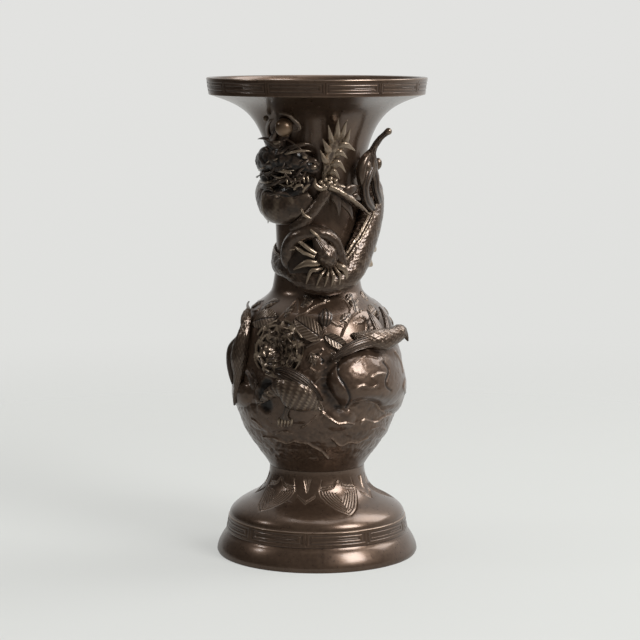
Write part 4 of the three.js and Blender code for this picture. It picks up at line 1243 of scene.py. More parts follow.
@dataclass
class FootRelief:
    """Engraved lappets round the dome of the foot: large shields, with a small pendant between each two.

    first is the angle of the first shield's middle, and the pendants hang half way between the shields.
    """

    count: int = 5
    first: float = 25.0
    top: float = 79.0
    widest: float = 69.0
    point: float = 49.0
    half: float = 23.0
    depth: float = 0.8
    width: float = 0.85
    nested: int = 5
    apart: float = 2.7

    def line(self, distance: Array) -> Array:
        """A line of the given width: 1 - (d / width)^2 where that is positive."""
        return np.clip(1 - (distance / self.width) ** 2, 0, 1)

    def breadth(self, z: Array) -> Array:
        """Half the breadth of a shield in millimetres: half (1 - s^1.8) - 3 u in degrees, times the radius.

        s is the share of the way down from the widest height to the point, and u that of the way up.
        """
        down = np.clip((self.widest - z) / (self.widest - self.point), 0, 1)
        up = np.clip((z - self.widest) / (self.top - self.widest), 0, 1)
        return (self.half * (1 - down**1.8) - 3 * up) * np.radians(1.0) * WALL.radius(z)

    def height(self, angle: Array, z: Array) -> tuple[Array, Array]:
        """The engraving for each angle and height, and a painted highlight along its lines.

        The distance inside a shield's edge is taken square to the edge. Its inner lines end under an arch of
        two lines. A pendant is two V lines and two chevrons below them.
        """
        sector = 360 / self.count
        x = (angle - self.first + sector / 2) % sector - sector / 2
        across = np.abs(x) * np.radians(1.0) * WALL.radius(z)
        nudge = 0.5
        step = np.hypot(2 * nudge, WALL.radius(z + nudge) - WALL.radius(z - nudge))
        lean = (self.breadth(z + nudge) - self.breadth(z - nudge)) / step
        inside = (self.breadth(z) - across) / np.sqrt(1 + lean**2)
        arch = (z - 71.5 - 5.5 * ridge(across, 3.5) + 0.12 * across) * 1.2
        cut = self.line(inside - 0.7)
        nested = np.zeros(x.shape)
        for k in range(self.nested):
            nested = np.maximum(nested, self.line(inside - 3.9 - self.apart * k))
        cut = np.maximum(cut, nested * smooth((66.0 + 0.12 * across - z) / 1.0))
        arches = np.maximum(self.line(arch), self.line(arch - 2.6))
        cut = np.maximum(cut, arches * smooth((inside - 1.2) / 1.0))
        cut = cut * smooth((self.top - z) / 1.0) * smooth((z - self.point + 0.5) / 1.0)
        p = sector / 2 * np.radians(1.0) * WALL.radius(z) - across
        vee = np.maximum(self.line(p - 0.28 * (z - 66.5)), self.line(p - 0.2 * (z - 70.5)))
        vee = vee * smooth((z - 66) / 0.8) * smooth((self.top - z) / 1.0)
        chevron = np.maximum(self.line((z - 57.8 - 0.6 * p) * 1.3), self.line((z - 59.4 - 0.6 * p) * 1.3))
        cut = np.maximum(cut, np.maximum(vee, chevron * smooth((9.5 - p) / 1.0)))
        # painted highlight: the engraved lines get the pale colour, as if their edges caught the light
        return -self.depth * cut, 1.6 * cut


@dataclass(frozen=True)
class Tongue:
    """A flat tongue of flame or hair: a root, a bend and a tip.

    The offsets are at the root, half way to the bend, at the bend and at the tip, the shares of the half
    width and the half thicknesses are at the first three, and end is the half size of the tip.
    """

    offsets: tuple
    shares: tuple
    thick: tuple
    end: float

    def rows(self, root: Sequence[float], bend: Sequence[float], tip: Sequence[float], half: float) -> list:
        """The stations of a tongue of a half width."""
        middle = (0.5 * (root[0] + bend[0]), 0.5 * (root[1] + bend[1]))
        places = zip((root, middle, bend), self.offsets, self.shares, self.thick)
        rows = [(*place, offset, half * share, thick) for place, offset, share, thick in places]
        return [*rows, (*tip, self.offsets[3], self.end, self.end)]


@dataclass
class Ornaments:
    """Applied castings in the chased finish."""

    finishes: Finishes

    def keep(self, name: str, skins: Sequence[Skin], *nodes: str) -> None:
        """Makes one piece of several surfaces, in the place of its CAD node."""
        fitted(write_mesh(name, Skin.joined(skins), self.finishes.ornament), "patina_bronze", *nodes)


@dataclass
class Dragon(Ornaments):
    """The dragon round the neck, with its head at the left of the front and its coil below."""

    girth: float = 11.5

    def coils(self) -> None:
        """The body, from the tail's band under the haunch and up the right side, then behind to the chest."""
        front = stations([
            (290, 270, 5, 9, 6), (305, 280, 7, 10, 8), (325, 283.5, 8.5, 11.5, 9), (342, 278, 9, 13, 10),
            (353, 266, 9.5, 14.5, 10.5), (361, 249, 10, 15.5, 11), (367.5, 230, 11, 15, 11.5),
        ], Kind.SHEET).tolist()
        low = [
            (-128, 296, 2, 8, 4), (-92, 287, 1.5, 9, 3), (-62, 282.5, 2, 9, 3.2), *front,
            (86, 333, 12, 13.5, 11.5), (104, 352, 11.5, 12.5, 11.5), (109, 356.5, 11.2, 11.4, 10.4),
        ]
        high = [
            (104, 352, 11.5, 12.5, 11.5), (132, 367, 10.5, 12.5, 11), (180, 374, 9, 12.5, 10.5),
            (220, 364, 8.5, 13, 10), (256, 351, 7.5, 15, 10), (290, 343, 7, 17, 10.5), (318, 341, 8, 18, 11),
            (340, 345, 7, 15, 9), (352, 352, 5, 9, 6),
        ]
        chest = added(
            faded(scale_rows(2.6, 2.8, self.girth, 0.6), 130, 165, 1.0, 0.5), pitted(6.5, 0.45, self.girth, 4)
        )
        for name, rows, hide in (("lower_coil", low, dragon_hide(self.girth)), ("upper_coil", high, chest)):
            self.keep(name, [limb(rows, Kind.WALL, 460, 128, displace=hide)], f"dragon_{name}")

    def tail(self) -> None:
        """The thin end of the body, round the back."""
        rows = [
            (-128, 296, 2, 8, 4), (-165, 304, 4, 7.5, 5), (-205, 314, 5, 6, 5), (-238, 322, 4.5, 4.5, 4),
            (-262, 326, 4, 3, 3),
        ]
        parts = [limb(rows, Kind.WALL, 200, 64, displace=scale_rows(3.0, 3.6, 6.5, 1.1))]
        for fan in (-12, 0, 12):
            hairs = [
                (-258, 326, 4, 3, 2), (-268, 327 + fan * 0.6, 4, 4, 1.8),
                (-280, 328 + fan * 1.5, 3.5, 0.6, 0.6),
            ]
            parts.append(limb(hairs, Kind.WALL, 40, 32, displace=hair_lines(12, 0.5)))
        self.keep("tail", parts, "dragon_tail")

    def head(self) -> None:
        """The skull, brow, nose, jaws, teeth, cheek wrinkles and ear."""
        parts = [
            limb([
                (264, 163, 5, 10, 7), (278, 159, 9, 13, 10), (293, 160, 11, 12, 10), (305, 164, 11, 8.6, 8),
                (313, 168, 10, 6.4, 6.5), (317.4, 170, 9, 4, 4),
            ], steps=150, sides=96, displace=pitted(2.6, 0.55, 10, 1), relief=0.24),
            limb([
                (270, 194, 6, 6, 5), (284, 193, 11, 6.5, 6), (298, 190, 12, 5.2, 5),
                (308, 184, 11, 3.4, 3.2), (313, 178, 10, 1.6, 1.6),
            ], steps=110, sides=64, displace=pitted(3.0, 0.45, 6, 2), relief=0.22),
            limb([
                (284, 154.6, 17, 0.9, 0.9), (291, 152.6, 20, 1.3, 1.3), (299, 151, 20.5, 1.3, 1.3),
                (307.5, 150.8, 19, 0.9, 0.9), (311, 151.6, 17, 0.4, 0.4),
            ], steps=60, sides=20, relief=0.8),
            limb([
                (278, 171, 15, 0.8, 0.8), (284.5, 171, 18.5, 2.4, 2.0), (291.5, 173.6, 17.5, 0.6, 0.6),
            ], steps=50, sides=28, relief=0.85),
            limb([
                (262, 190, 10, 1.2, 1.2), (270, 186, 14.5, 1.7, 1.7), (279, 181.5, 16.5, 1.5, 1.5),
                (285, 178, 15, 0.6, 0.6),
            ], steps=60, sides=24),
            limb([
                (264, 199, 12, 1.2, 1.2), (272, 194.5, 15.5, 1.7, 1.6), (284, 193, 17, 1.5, 1.5),
                (293, 197, 15, 0.6, 0.6),
            ], steps=60, sides=24),
            limb([
                (308, 160, 14, 2.2, 2.2), (314, 161, 15, 2.4, 2.2), (318, 165, 13, 1.6, 1.6),
            ], steps=30, sides=24, displace=pitted(2.0, 0.4, 3, 5)),
            limb([
                (297, 175.5, 19, 1.1, 1.1), (300, 171, 19.5, 1.3, 1.3), (304.5, 167.5, 18, 0.6, 0.6),
            ], steps=30, sides=16),
            limb([
                (300, 166, 19.5, 1.1, 1.1), (304, 163, 20, 1.3, 1.3), (308.5, 160.5, 18, 0.6, 0.6),
            ], steps=30, sides=16),
            limb([
                (294, 189.5, 18, 1, 1), (297, 186, 19, 1.5, 1.4), (301.5, 185.2, 19, 1.3, 1.2),
                (303, 188, 18, 0.5, 0.5),
            ], steps=40, sides=16, relief=0.85),
            limb([
                (303, 192, 16, 1.1, 1.1), (305, 188, 17, 1.4, 1.4), (310, 184.2, 16.5, 0.6, 0.6),
            ], steps=30, sides=16, relief=0.85),
            ball(305, 156.6, 18, (2.5, 2.3, 2.4), 32, 0.95),
            ball(313.6, 167, 15, (3.4, 3.0, 3.4), 32),
            ball(268, 151, 9, (6.0, 5.0, 5.0), 32, 0.4),
        ]
        for k in range(5):
            x, y = 285.5 + 2.3 * k, 166.8 - 0.8 * abs(k - 1.5)
            parts.append(limb([
                (x, y, 17.5, 0.9, 0.9), (x + 3.4, y - 3.4, 19.5, 1.3, 1.2),
                (x + 7.6, y - 4.6, 18.5, 0.5, 0.5),
            ], steps=24, sides=14))
        for k in range(6):
            x, y = 286.5 + 4.2 * k, 181.5 - 0.5 * k
            parts.append(limb([
                (x, y - 2.2, 15, 1.3, 1.3), (x + 0.6, y + 0.4, 16.4, 1.0, 1.0),
                (x + 1.4, y + 3.4, 16, 0.25, 0.25),
            ], steps=14, sides=12, relief=0.95))
        self.keep("head", parts, "dragon_head")

    def mane(self) -> None:
        """Hair that streams back from the head: wiry locks over the cheek and broad flaps at the left side.

        A wire starts at one of the roots round the face. Its length, its turn and its bow change with the
        sine of its number, so that no two lie alike. A bell curve lifts the wires over the skull.
        """
        parts = []
        flap = Tongue((11, 12.5, 11, 7.5), (0.6, 0.9, 1.0), (2.6, 3.2, 3.0), 0.5)
        flaps = (
            ((277, 150), (270, 144), (263.6, 140), 4.0), ((274, 156), (265, 151), (260.4, 158), 4.4),
            ((272, 166), (262, 165), (257.4, 175), 5.4), ((273, 178), (262.5, 178), (257, 190), 6.0),
            ((276, 189), (265, 190), (259.4, 203), 6.2), ((282, 198), (270, 203), (263.6, 215), 5.6),
            ((286, 206), (276, 213), (268, 223), 4.6),
        )
        for path in flaps:
            parts.append(limb(flap.rows(*path), steps=50, sides=36, displace=hollowed(0.8, 7)))
        roots = (
            (299, 146), (292, 148), (285, 150), (278, 154), (272, 160), (276, 167), (283, 165), (289, 178),
            (296, 180), (281, 176), (274, 173), (303, 176), (290, 188), (300, 193), (279, 186), (271, 182),
            (286, 196), (294, 168), (268, 168), (276, 194),
        )
        for k in range(3 * len(roots)):
            x, y = roots[k % len(roots)]
            way = math.radians(168 + 26 * math.sin(2.3 * k) + 0.9 * (y - 168))
            length, bow = 12 + 4 * math.sin(1.7 * k), 3.2 * math.sin(3.1 * k + 1)
            dx, dy = math.cos(way), math.sin(way)
            x, y = x + 2.5 * math.sin(5.1 * k), y + 2.5 * math.cos(4.3 * k)
            skull = 6.5 * math.exp(-(((x - 291) / 15) ** 2) - ((y - 161) / 9) ** 2)
            out, w = 14.5 + skull + 2.0 * math.sin(2.9 * k), 0.8 + 0.25 * math.sin(1.3 * k)
            bent = (
                (0, 0, out - 2, w), (0.4, bow, out + 1.5, w), (0.8, bow, out, 0.8 * w),
                (1, 0, out - 2, 0.2),
            )
            rows = [
                (x + share * length * dx - side * dy, y + share * length * dy + side * dx, offset, half, half)
                for share, side, offset, half in bent
            ]
            parts.append(limb(rows, steps=26, sides=12, relief=0.35 + 0.5 * (k % 3 == 0)))
        self.keep("mane", parts, "dragon_mane")

    def horns_and_whiskers(self) -> None:
        """Two branched horns swept back, and two wiry whiskers."""
        pieces = {
            "horn_right": (
                (291, 150, 15, 2.6), (299, 145.5, 17, 2.2), (307, 144, 15.5, 1.5), (313, 145.5, 12, 0.4),
            ),
            "horn_left": (
                (280, 148, 12, 2.6), (271, 142, 12, 2.2), (264, 138.5, 10, 1.5), (258, 139, 8, 0.4),
            ),
            "whisker_upper": (
                (309, 163, 16, 0.9), (304, 153, 20, 0.9), (295, 144.5, 18, 0.8), (286.7, 139, 14, 0.6),
            ),
            "whisker_lower": ((306, 171, 16, 1), (300, 180, 19, 1), (291, 180, 20, 0.9), (284, 172, 20, 0.5)),
        }
        for name, path in pieces.items():
            lines = cross_rings(1.6, 0.25) if "horn" in name else None
            rows = [(*place, place[3]) for place in path]
            self.keep(name, [limb(rows, steps=50, sides=20, displace=lines)], f"dragon_{name}")

    def pearl_and_paw(self) -> None:
        """The left fore paw, whose talons close on a golden pearl."""
        pearl = ball(284, 127.5, 9.5, (8.4, 9.0, 8.4), 96, 0.6)
        fitted(write_mesh("pearl_ball", pearl, self.finishes.pearl), "pearl_bronze", "pearl")
        parts = [
            limb([
                (279, 151, 7, 6, 6), (279, 144, 8, 6, 6), (279, 138.5, 6, 8, 5), (283, 130, 2, 8, 3),
                (284, 120, 3, 5, 3),
            ], steps=60, sides=40, displace=hair_lines(7, 0.7)),
            limb([
                (272, 140, 8, 2.6, 2.6), (268.5, 133, 10, 2.3, 2.3), (268, 126, 12, 1.9, 1.9),
                (270, 121, 13, 1.4, 1.4), (274, 118.8, 12.5, 0.4, 0.4),
            ], steps=50, sides=20),
            limb([
                (271, 141, 9, 2.6, 2.6), (274, 137, 12.5, 3.3, 3), (275.5, 131.5, 14.5, 0.6, 0.6),
            ], steps=36, sides=24),
            limb([
                (280, 113, 4, 1.5, 1.5), (288, 115.2, 6, 1.8, 1.7), (294.5, 120.5, 8, 1.9, 1.8),
                (298.4, 124.8, 10, 1.7, 1.6), (299.6, 128.8, 10.5, 1.4, 1.4), (295, 131.6, 11, 0.4, 0.4),
            ], steps=60, sides=24, displace=hollowed(0.4), relief=0.7),
            ball(265.8, 118.3, 4, (2.6, 2.6, 3.0), 24),
            ball(277, 142, 11, (4.4, 3.0, 3.6), 28),
        ]
        self.keep("pearl_paw", parts, "pearl_paw")

    def foreleg(self) -> None:
        """The right foreleg, which comes out of the chest and reaches across with its claws spread."""
        wrinkles = pitted(3.0, 0.35, 3.0, 7)
        parts = [
            limb([
                (293, 229, 9, 5, 4.5), (302, 223.5, 12, 6, 5.6), (311, 213.5, 12.5, 6, 6),
                (318.5, 203.5, 12, 5.4, 5.4), (325, 193.5, 11, 5.8, 4.8), (329.5, 184.5, 9.5, 6.4, 3.8),
            ], steps=130, sides=56, displace=scale_rows(2.8, 3.4, 5.5, 0.6)),
            limb([
                (301.5, 209.5, 15, 1.2, 1.2), (304.5, 215, 18, 1.6, 1.6), (310.5, 218.5, 17.5, 1.2, 1.2),
            ], steps=30, sides=18, relief=0.9),
            limb([
                (326, 187, 12, 3.4, 3.2), (319.5, 188, 14, 3, 2.9), (315.2, 184, 15, 2.1, 2),
                (315.4, 178.6, 15.5, 0.6, 0.6),
            ], steps=40, sides=22, relief=0.8),
            limb([
                (330, 186.5, 13, 4.4, 3.6), (340, 191.5, 16, 3.8, 3.2), (350, 198.6, 18, 3.4, 3),
                (360, 206.4, 20, 2.6, 2.4), (370, 215.4, 22, 0.4, 0.4),
            ], steps=80, sides=40, displace=added(hollowed(-0.7), wrinkles)),
            limb([
                (333, 184, 11, 2.6, 2.4), (341, 187, 14, 2.8, 2.4), (349, 192, 16, 2.6, 2.4),
            ], steps=40, sides=24, displace=wrinkles, relief=0.7),
            limb([
                (342, 197, 15, 2.4, 2), (347, 192, 18, 5.2, 2.8), (352.5, 189, 17.5, 4.4, 2.4),
                (359.4, 185.6, 15, 0.5, 0.5),
            ], steps=50, sides=36, displace=hollowed(0.5), relief=0.6),
            limb([
                (350, 199, 16, 1.6, 1.6), (355, 196.5, 18, 3.4, 2.4), (360.5, 199.5, 17, 0.6, 0.6),
            ], steps=36, sides=28, displace=hollowed(0.4), relief=0.6),
            limb([
                (331, 191, 11, 3, 2.8), (336, 196.5, 13, 5.2, 3.2), (338.2, 205, 13, 3.2, 2.6),
                (338.8, 216.6, 11.5, 0.3, 0.3),
            ], steps=50, sides=32, displace=hollowed(0.6), relief=0.6),
            limb([
                (340, 196, 12, 3, 2.8), (345.5, 203.5, 14, 4.4, 3), (349.5, 210.5, 14, 2.8, 2.3),
                (353, 220.4, 12, 0.3, 0.3),
            ], steps=50, sides=32, displace=hollowed(0.6), relief=0.6),
            limb([
                (325, 190, 10, 2.8, 2.6), (327, 195.5, 11, 2.6, 2.2), (328.2, 203, 10, 0.3, 0.3),
            ], steps=30, sides=20, relief=0.45),
            ball(329, 184, 10, (9, 6, 5.5), 40),
        ]
        for x, y in (
            (321, 182), (325.5, 179.5), (330.5, 178.5), (335.5, 180.5), (323.5, 185.5), (329, 183),
            (334, 185),
        ):
            parts.append(ball(x, y, 15, (2.4, 2.0, 2.2), 20, 0.9))
        self.keep("foreleg", parts, "reaching_foreleg")

    def flame(self) -> None:
        """The flame on the wrist: a flat stem with prongs on top and hooked thorns beside it."""
        parts = [limb([
            (324.6, 182, 8, 3.4, 2.6), (326.4, 171, 8.5, 3.6, 2.6), (328, 161, 9, 4.6, 3.4),
            (333, 148, 10, 6.6, 4.4), (337.6, 138, 9, 5.2, 3.6), (339.4, 132, 8.5, 2.6, 2),
        ], steps=110, sides=48, displace=added(hollowed(0.5, 5), pitted(3.0, 0.45, 6, 9)), relief=0.88)]
        spike = Tongue((8.5, 11.5, 13.5, 13.5), (1.0, 1.1, 0.8), (3.0, 3.2, 2.6), 0.25)
        spikes = (
            ((336, 140), (337.6, 130), (338.8, 118), 3.2), ((340, 140), (343.6, 130.6), (347.4, 120), 3.0),
            ((343, 144), (347.4, 137.5), (350.4, 128.4), 2.6),
            ((332, 143), (330.4, 135), (328.2, 125), 2.8), ((331, 153), (327, 148), (322.6, 138.8), 3.7),
            ((328, 163), (324, 159), (320.2, 150), 3.3), ((337, 148), (346, 145), (355.4, 151.0), 3.9),
            ((334, 156), (340.5, 152.6), (347.4, 158.4), 3.5),
            ((331, 166), (338.5, 163), (345.8, 172.6), 3.6),
            ((328.6, 174), (334.5, 171.6), (340, 179.4), 3.0),
        )
        for path in spikes:
            parts.append(limb(spike.rows(*path), steps=40, sides=28, displace=hollowed(0.35), relief=0.92))
        self.keep("flame", parts, "wrist_flame")

    def front_haunch(self) -> None:
        """The curled hind leg in the lower coil: a hairy thigh, the shank arched over it, toes and flames."""
        veins = pitted(3.2, 0.22, 8.0, 13)
        knee = added(
            faded(hair_lines(24, 0.4), 12, 18, 1.0, 0.0), faded(pitted(2.4, 0.5, 11, 3), 12, 18, 0.0, 1.0)
        )
        parts = [
            limb([
                (293, 270, 5, 6, 5), (289, 259, 8, 7.5, 7), (290, 248, 9.5, 8, 8.5),
                (296, 238.5, 10.5, 8, 9.5), (306, 233.4, 11, 7.6, 10), (317, 232.6, 11, 7.2, 10),
                (327, 235, 11, 6.8, 9.5), (334, 242, 11, 6.6, 9), (338, 252, 10.5, 6.4, 8.5),
                (341, 263, 10, 6, 7.5), (346, 272, 10, 4.6, 6),
            ], steps=240, sides=72, displace=veins),
            limb([
                (313.6, 233, 16, 2.4, 3), (317, 239, 15.5, 5.0, 6.5), (322, 248, 14, 8.4, 9.4),
                (326.4, 256, 13.5, 11, 11.5), (328, 264, 11, 8, 9), (328.5, 269, 8, 3, 4),
            ], steps=150, sides=96, displace=knee),
            limb([
                (296.6, 239.4, 15, 1.5, 1.5), (303, 244.2, 19.5, 1.8, 1.8), (309, 249, 21.5, 1.9, 1.9),
                (316, 253.4, 21, 1.6, 1.6),
            ], steps=50, sides=22, relief=0.95),
            limb([
                (294.4, 246.4, 15, 1.4, 1.4), (300, 250, 19, 1.7, 1.7), (306.5, 253.8, 21, 1.8, 1.8),
                (314.6, 257.2, 20.5, 1.5, 1.5),
            ], steps=50, sides=22, relief=0.95),
            limb([
                (310.4, 229.6, 20, 1.0, 1.0), (314, 233, 21.5, 1.4, 1.4), (318, 236.6, 21, 1.2, 1.2),
                (321.4, 243, 21.5, 0.4, 0.4),
            ], steps=36, sides=18, relief=0.95),
            limb([
                (283.6, 247.4, 9, 0.7, 0.7), (288, 249.4, 15, 1.0, 1.0), (294.6, 249.4, 19, 0.6, 0.6),
            ], steps=30, sides=14, relief=0.95),
            ball(318, 264, 4, (29, 23, 9), 64, 0.3),
        ]
        flame = Tongue((15, 18.6, 19.2, 17.2), (0.7, 1.0, 1.0), (2.4, 2.6, 2.4), 0.4)
        flames = (
            ((321, 263), (306, 263.6), (293.4, 269.6), 3.4), ((322, 268), (310.5, 272), (306, 284), 1.9),
            ((325, 270), (320, 277), (316.5, 286), 1.4), ((328, 271), (327, 278), (324.5, 287), 1.3),
            ((331, 270), (333.4, 277), (331.4, 286.6), 1.8), ((334, 267), (339.4, 275), (339.6, 286), 1.4),
            ((336, 264), (344.6, 270), (348, 282.6), 3.0),
        )
        for path in flames:
            parts.append(limb(flame.rows(*path), steps=56, sides=32, displace=hollowed(0.3), relief=0.85))
        self.keep("front_haunch", parts, "front_haunch")

    def rear_haunch(self) -> None:
        """The other hind leg on the right: a loop of shin and foot, a knee and a raised claw."""
        folds = hair_lines(6, 0.7)
        parts = [
            limb([
                (372, 210, 14, 4, 4), (366.8, 201, 15.5, 5, 4), (364.6, 189, 16.5, 4.4, 4),
                (366.2, 178, 16, 5.8, 4.6), (369, 168, 14, 5.4, 5.5),
            ], steps=90, sides=40, displace=folds),
            limb([
                (374, 211, 14, 4, 4), (378, 201, 17.5, 6, 4), (376, 189, 17.5, 5.4, 4),
                (374.6, 178, 16, 5.8, 4.6), (371.6, 168, 14, 5.4, 5.5),
            ], steps=90, sides=40, displace=folds),
            limb([
                (370.5, 180, 11, 6, 5), (370.4, 169, 13, 8, 6.5), (371, 158, 13, 5.6, 5.4),
                (373, 149.5, 13, 3.6, 3.4), (377.8, 141.5, 14, 3, 2.9), (383.8, 135, 17, 2.8, 2.7),
                (388.4, 131.6, 19, 3.2, 3.2),
            ], steps=130, sides=48, displace=added(hair_lines(8, 0.4), pitted(3.0, 0.35, 6, 11))),
            limb([
                (371, 151, 11, 2.4, 3), (365, 159, 12, 4.0, 4.5), (361, 169, 13, 4.2, 5),
                (361, 180, 14, 3.6, 4.5), (364, 192, 14, 3, 4),
            ], steps=80, sides=36, displace=hair_lines(5, 0.25), relief=0.6),
            limb([
                (370.5, 172, 12, 4, 3), (370, 178, 13, 3.4, 3), (369.6, 181.5, 13.5, 2.4, 2.6),
            ], steps=24, sides=20),
            limb([
                (369.4, 196, 13.5, 2.4, 2.6), (370.5, 202, 13, 4, 3), (372, 211, 12, 5, 4),
            ], steps=30, sides=24),
            ball(366, 168, 13.5, (5.2, 8.0, 5.6), 40, 0.6),
            ball(377.4, 164, 14, (4.0, 6.0, 4.3), 36, 0.6),
            ball(388.4, 131.4, 19, (3.4, 3.4, 3.4), 32, 0.7),
        ]
        self.keep("rear_haunch", parts, "rear_haunch")

    def build(self) -> None:
        """Makes every piece of the dragon."""
        self.coils()
        self.tail()
        self.head()
        self.mane()
        self.horns_and_whiskers()
        self.pearl_and_paw()
        self.foreleg()
        self.flame()
        self.front_haunch()
        self.rear_haunch()


@dataclass
class Birds(Ornaments):
    """The three birds on the body, with overlapping feathers."""

    def perched(self) -> None:
        """The bird at the left, seen from its side with its beak up."""
        parts = [
            limb([
                (249, 301.5, 5, 0.4, 0.4), (248.2, 308, 5, 1.5, 1.5), (246.8, 314, 5, 4, 4),
                (246, 319.5, 5, 4.9, 5), (245.6, 326, 4.5, 4.6, 4.8), (244, 336, 4, 7, 6.6),
                (241, 348, 4, 9.6, 8), (239.5, 360, 4, 9.2, 8), (238.5, 374, 3.5, 6.4, 5),
                (237, 388, 4, 4.2, 3), (235, 400, 5, 2.6, 1.6), (234.4, 405, 5, 0.5, 0.5),
            ], steps=200, sides=64, displace=plumage(4.0, 3.4, 8.0, 0.9)),
            limb([
                (238, 339, 7, 3, 3), (231.5, 349, 9, 6, 3.6), (230, 361, 9, 6.4, 3.2),
                (231, 374, 8, 4.4, 2.2), (232.4, 384, 7, 0.8, 0.8),
            ], steps=90, sides=44, displace=hair_lines(16, 0.6)),
            limb([
                (247, 371, 4, 2.2, 2.2), (250, 376, 4.5, 2, 2), (252.5, 384, 5.5, 3.4, 1.6),
                (252.5, 390, 6, 0.5, 0.5),
            ], steps=40, sides=20, displace=hair_lines(5, 0.4)),
            ball(248, 317.5, 9.5, (0.9, 0.9, 0.9), 16, 0.95),
        ]
        self.keep("perched_bird", parts, "perched_bird")

    def on_rock(self) -> None:
        """The bird on the rock at the right, with its head turned out and its tail along the rock."""
        parts = [
            limb([
                (352, 334, 2, 1.2, 0.8), (362, 337, 4, 5.4, 3), (374, 338.5, 6.5, 9, 6),
                (385, 339, 8.5, 10.5, 7.8), (394, 335.5, 12, 8.4, 6.8), (400.5, 332, 15, 7.2, 6.6),
                (405, 335, 17, 3.2, 3.0), (408, 341, 18, 0.4, 0.4),
            ], steps=160, sides=64, displace=plumage(3.8, 3.4, 7.5, 0.9)),
            limb([
                (374, 340, 7, 6, 3), (358, 344.5, 7, 5.4, 2.2), (343, 352, 5.5, 4.4, 2),
                (329, 362, 3, 0.8, 0.8),
            ], steps=100, sides=44, displace=hair_lines(14, 0.7)),
            limb([
                (381, 334, 9, 5, 2.6), (375.5, 323, 7, 5.4, 2.2), (367, 310, 4.5, 0.8, 0.8),
            ], steps=70, sides=40, displace=hair_lines(14, 0.6)),
            limb([
                (388, 332, 10, 5, 2.6), (386.5, 320, 7, 5.4, 2.2), (379, 307, 4.5, 0.8, 0.8),
            ], steps=70, sides=40, displace=hair_lines(14, 0.6)),
            ball(402.5, 331, 20, (1.2, 1.2, 1.2), 16, 0.95),
        ]
        self.keep("rock_bird", parts, "rock_bird")

    def low(self) -> None:
        """The pheasant at the lower left, pecking, with long wing feathers and spread toes."""
        parts = [
            limb([
                (257, 405, 4, 0.4, 0.4), (263, 400, 5, 2.2, 2.2), (268.5, 394.5, 6, 5, 5),
                (275, 390, 6, 6, 5.6), (284, 388, 7, 12, 9), (295, 393, 7.5, 15.5, 10),
                (306, 400, 6, 13, 8), (316, 406, 2.5, 5, 3), (324, 409, 1.2, 1, 0.8),
            ], steps=190, sides=80, displace=plumage(5.2, 2.4, 10.5, 1.1)),
            limb([
                (273, 370, 6, 3, 2), (284, 373, 10.5, 7, 3.2), (299, 381.5, 12, 8, 3.2),
                (312, 391.5, 8, 5.4, 2.4), (323, 401, 4.5, 0.8, 0.8),
            ], steps=120, sides=64, displace=hair_lines(20, 0.9)),
            limb([
                (288, 407, 5, 3.4, 3.4), (285.5, 414, 4.5, 2.8, 2.8), (285, 419, 3.4, 6, 1.8),
            ], steps=36, sides=28, displace=hair_lines(6, 0.4)),
            ball(267.5, 392.5, 11, (1.0, 1.0, 1.0), 16, 0.95),
        ]
        for k in range(5):
            x = 279 + 3.2 * k
            parts.append(limb([
                (x, 418.5, 2.5, 1.2, 1.2), (x - 0.2, 422, 3, 1.3, 1.4), (x - 0.6, 426.5, 1.6, 0.4, 0.4),
            ], steps=20, sides=14, relief=0.85))
        self.keep("low_bird", parts, "pheasant")

    def build(self) -> None:
        """Makes the birds."""
        self.perched()
        self.on_rock()
        self.low()


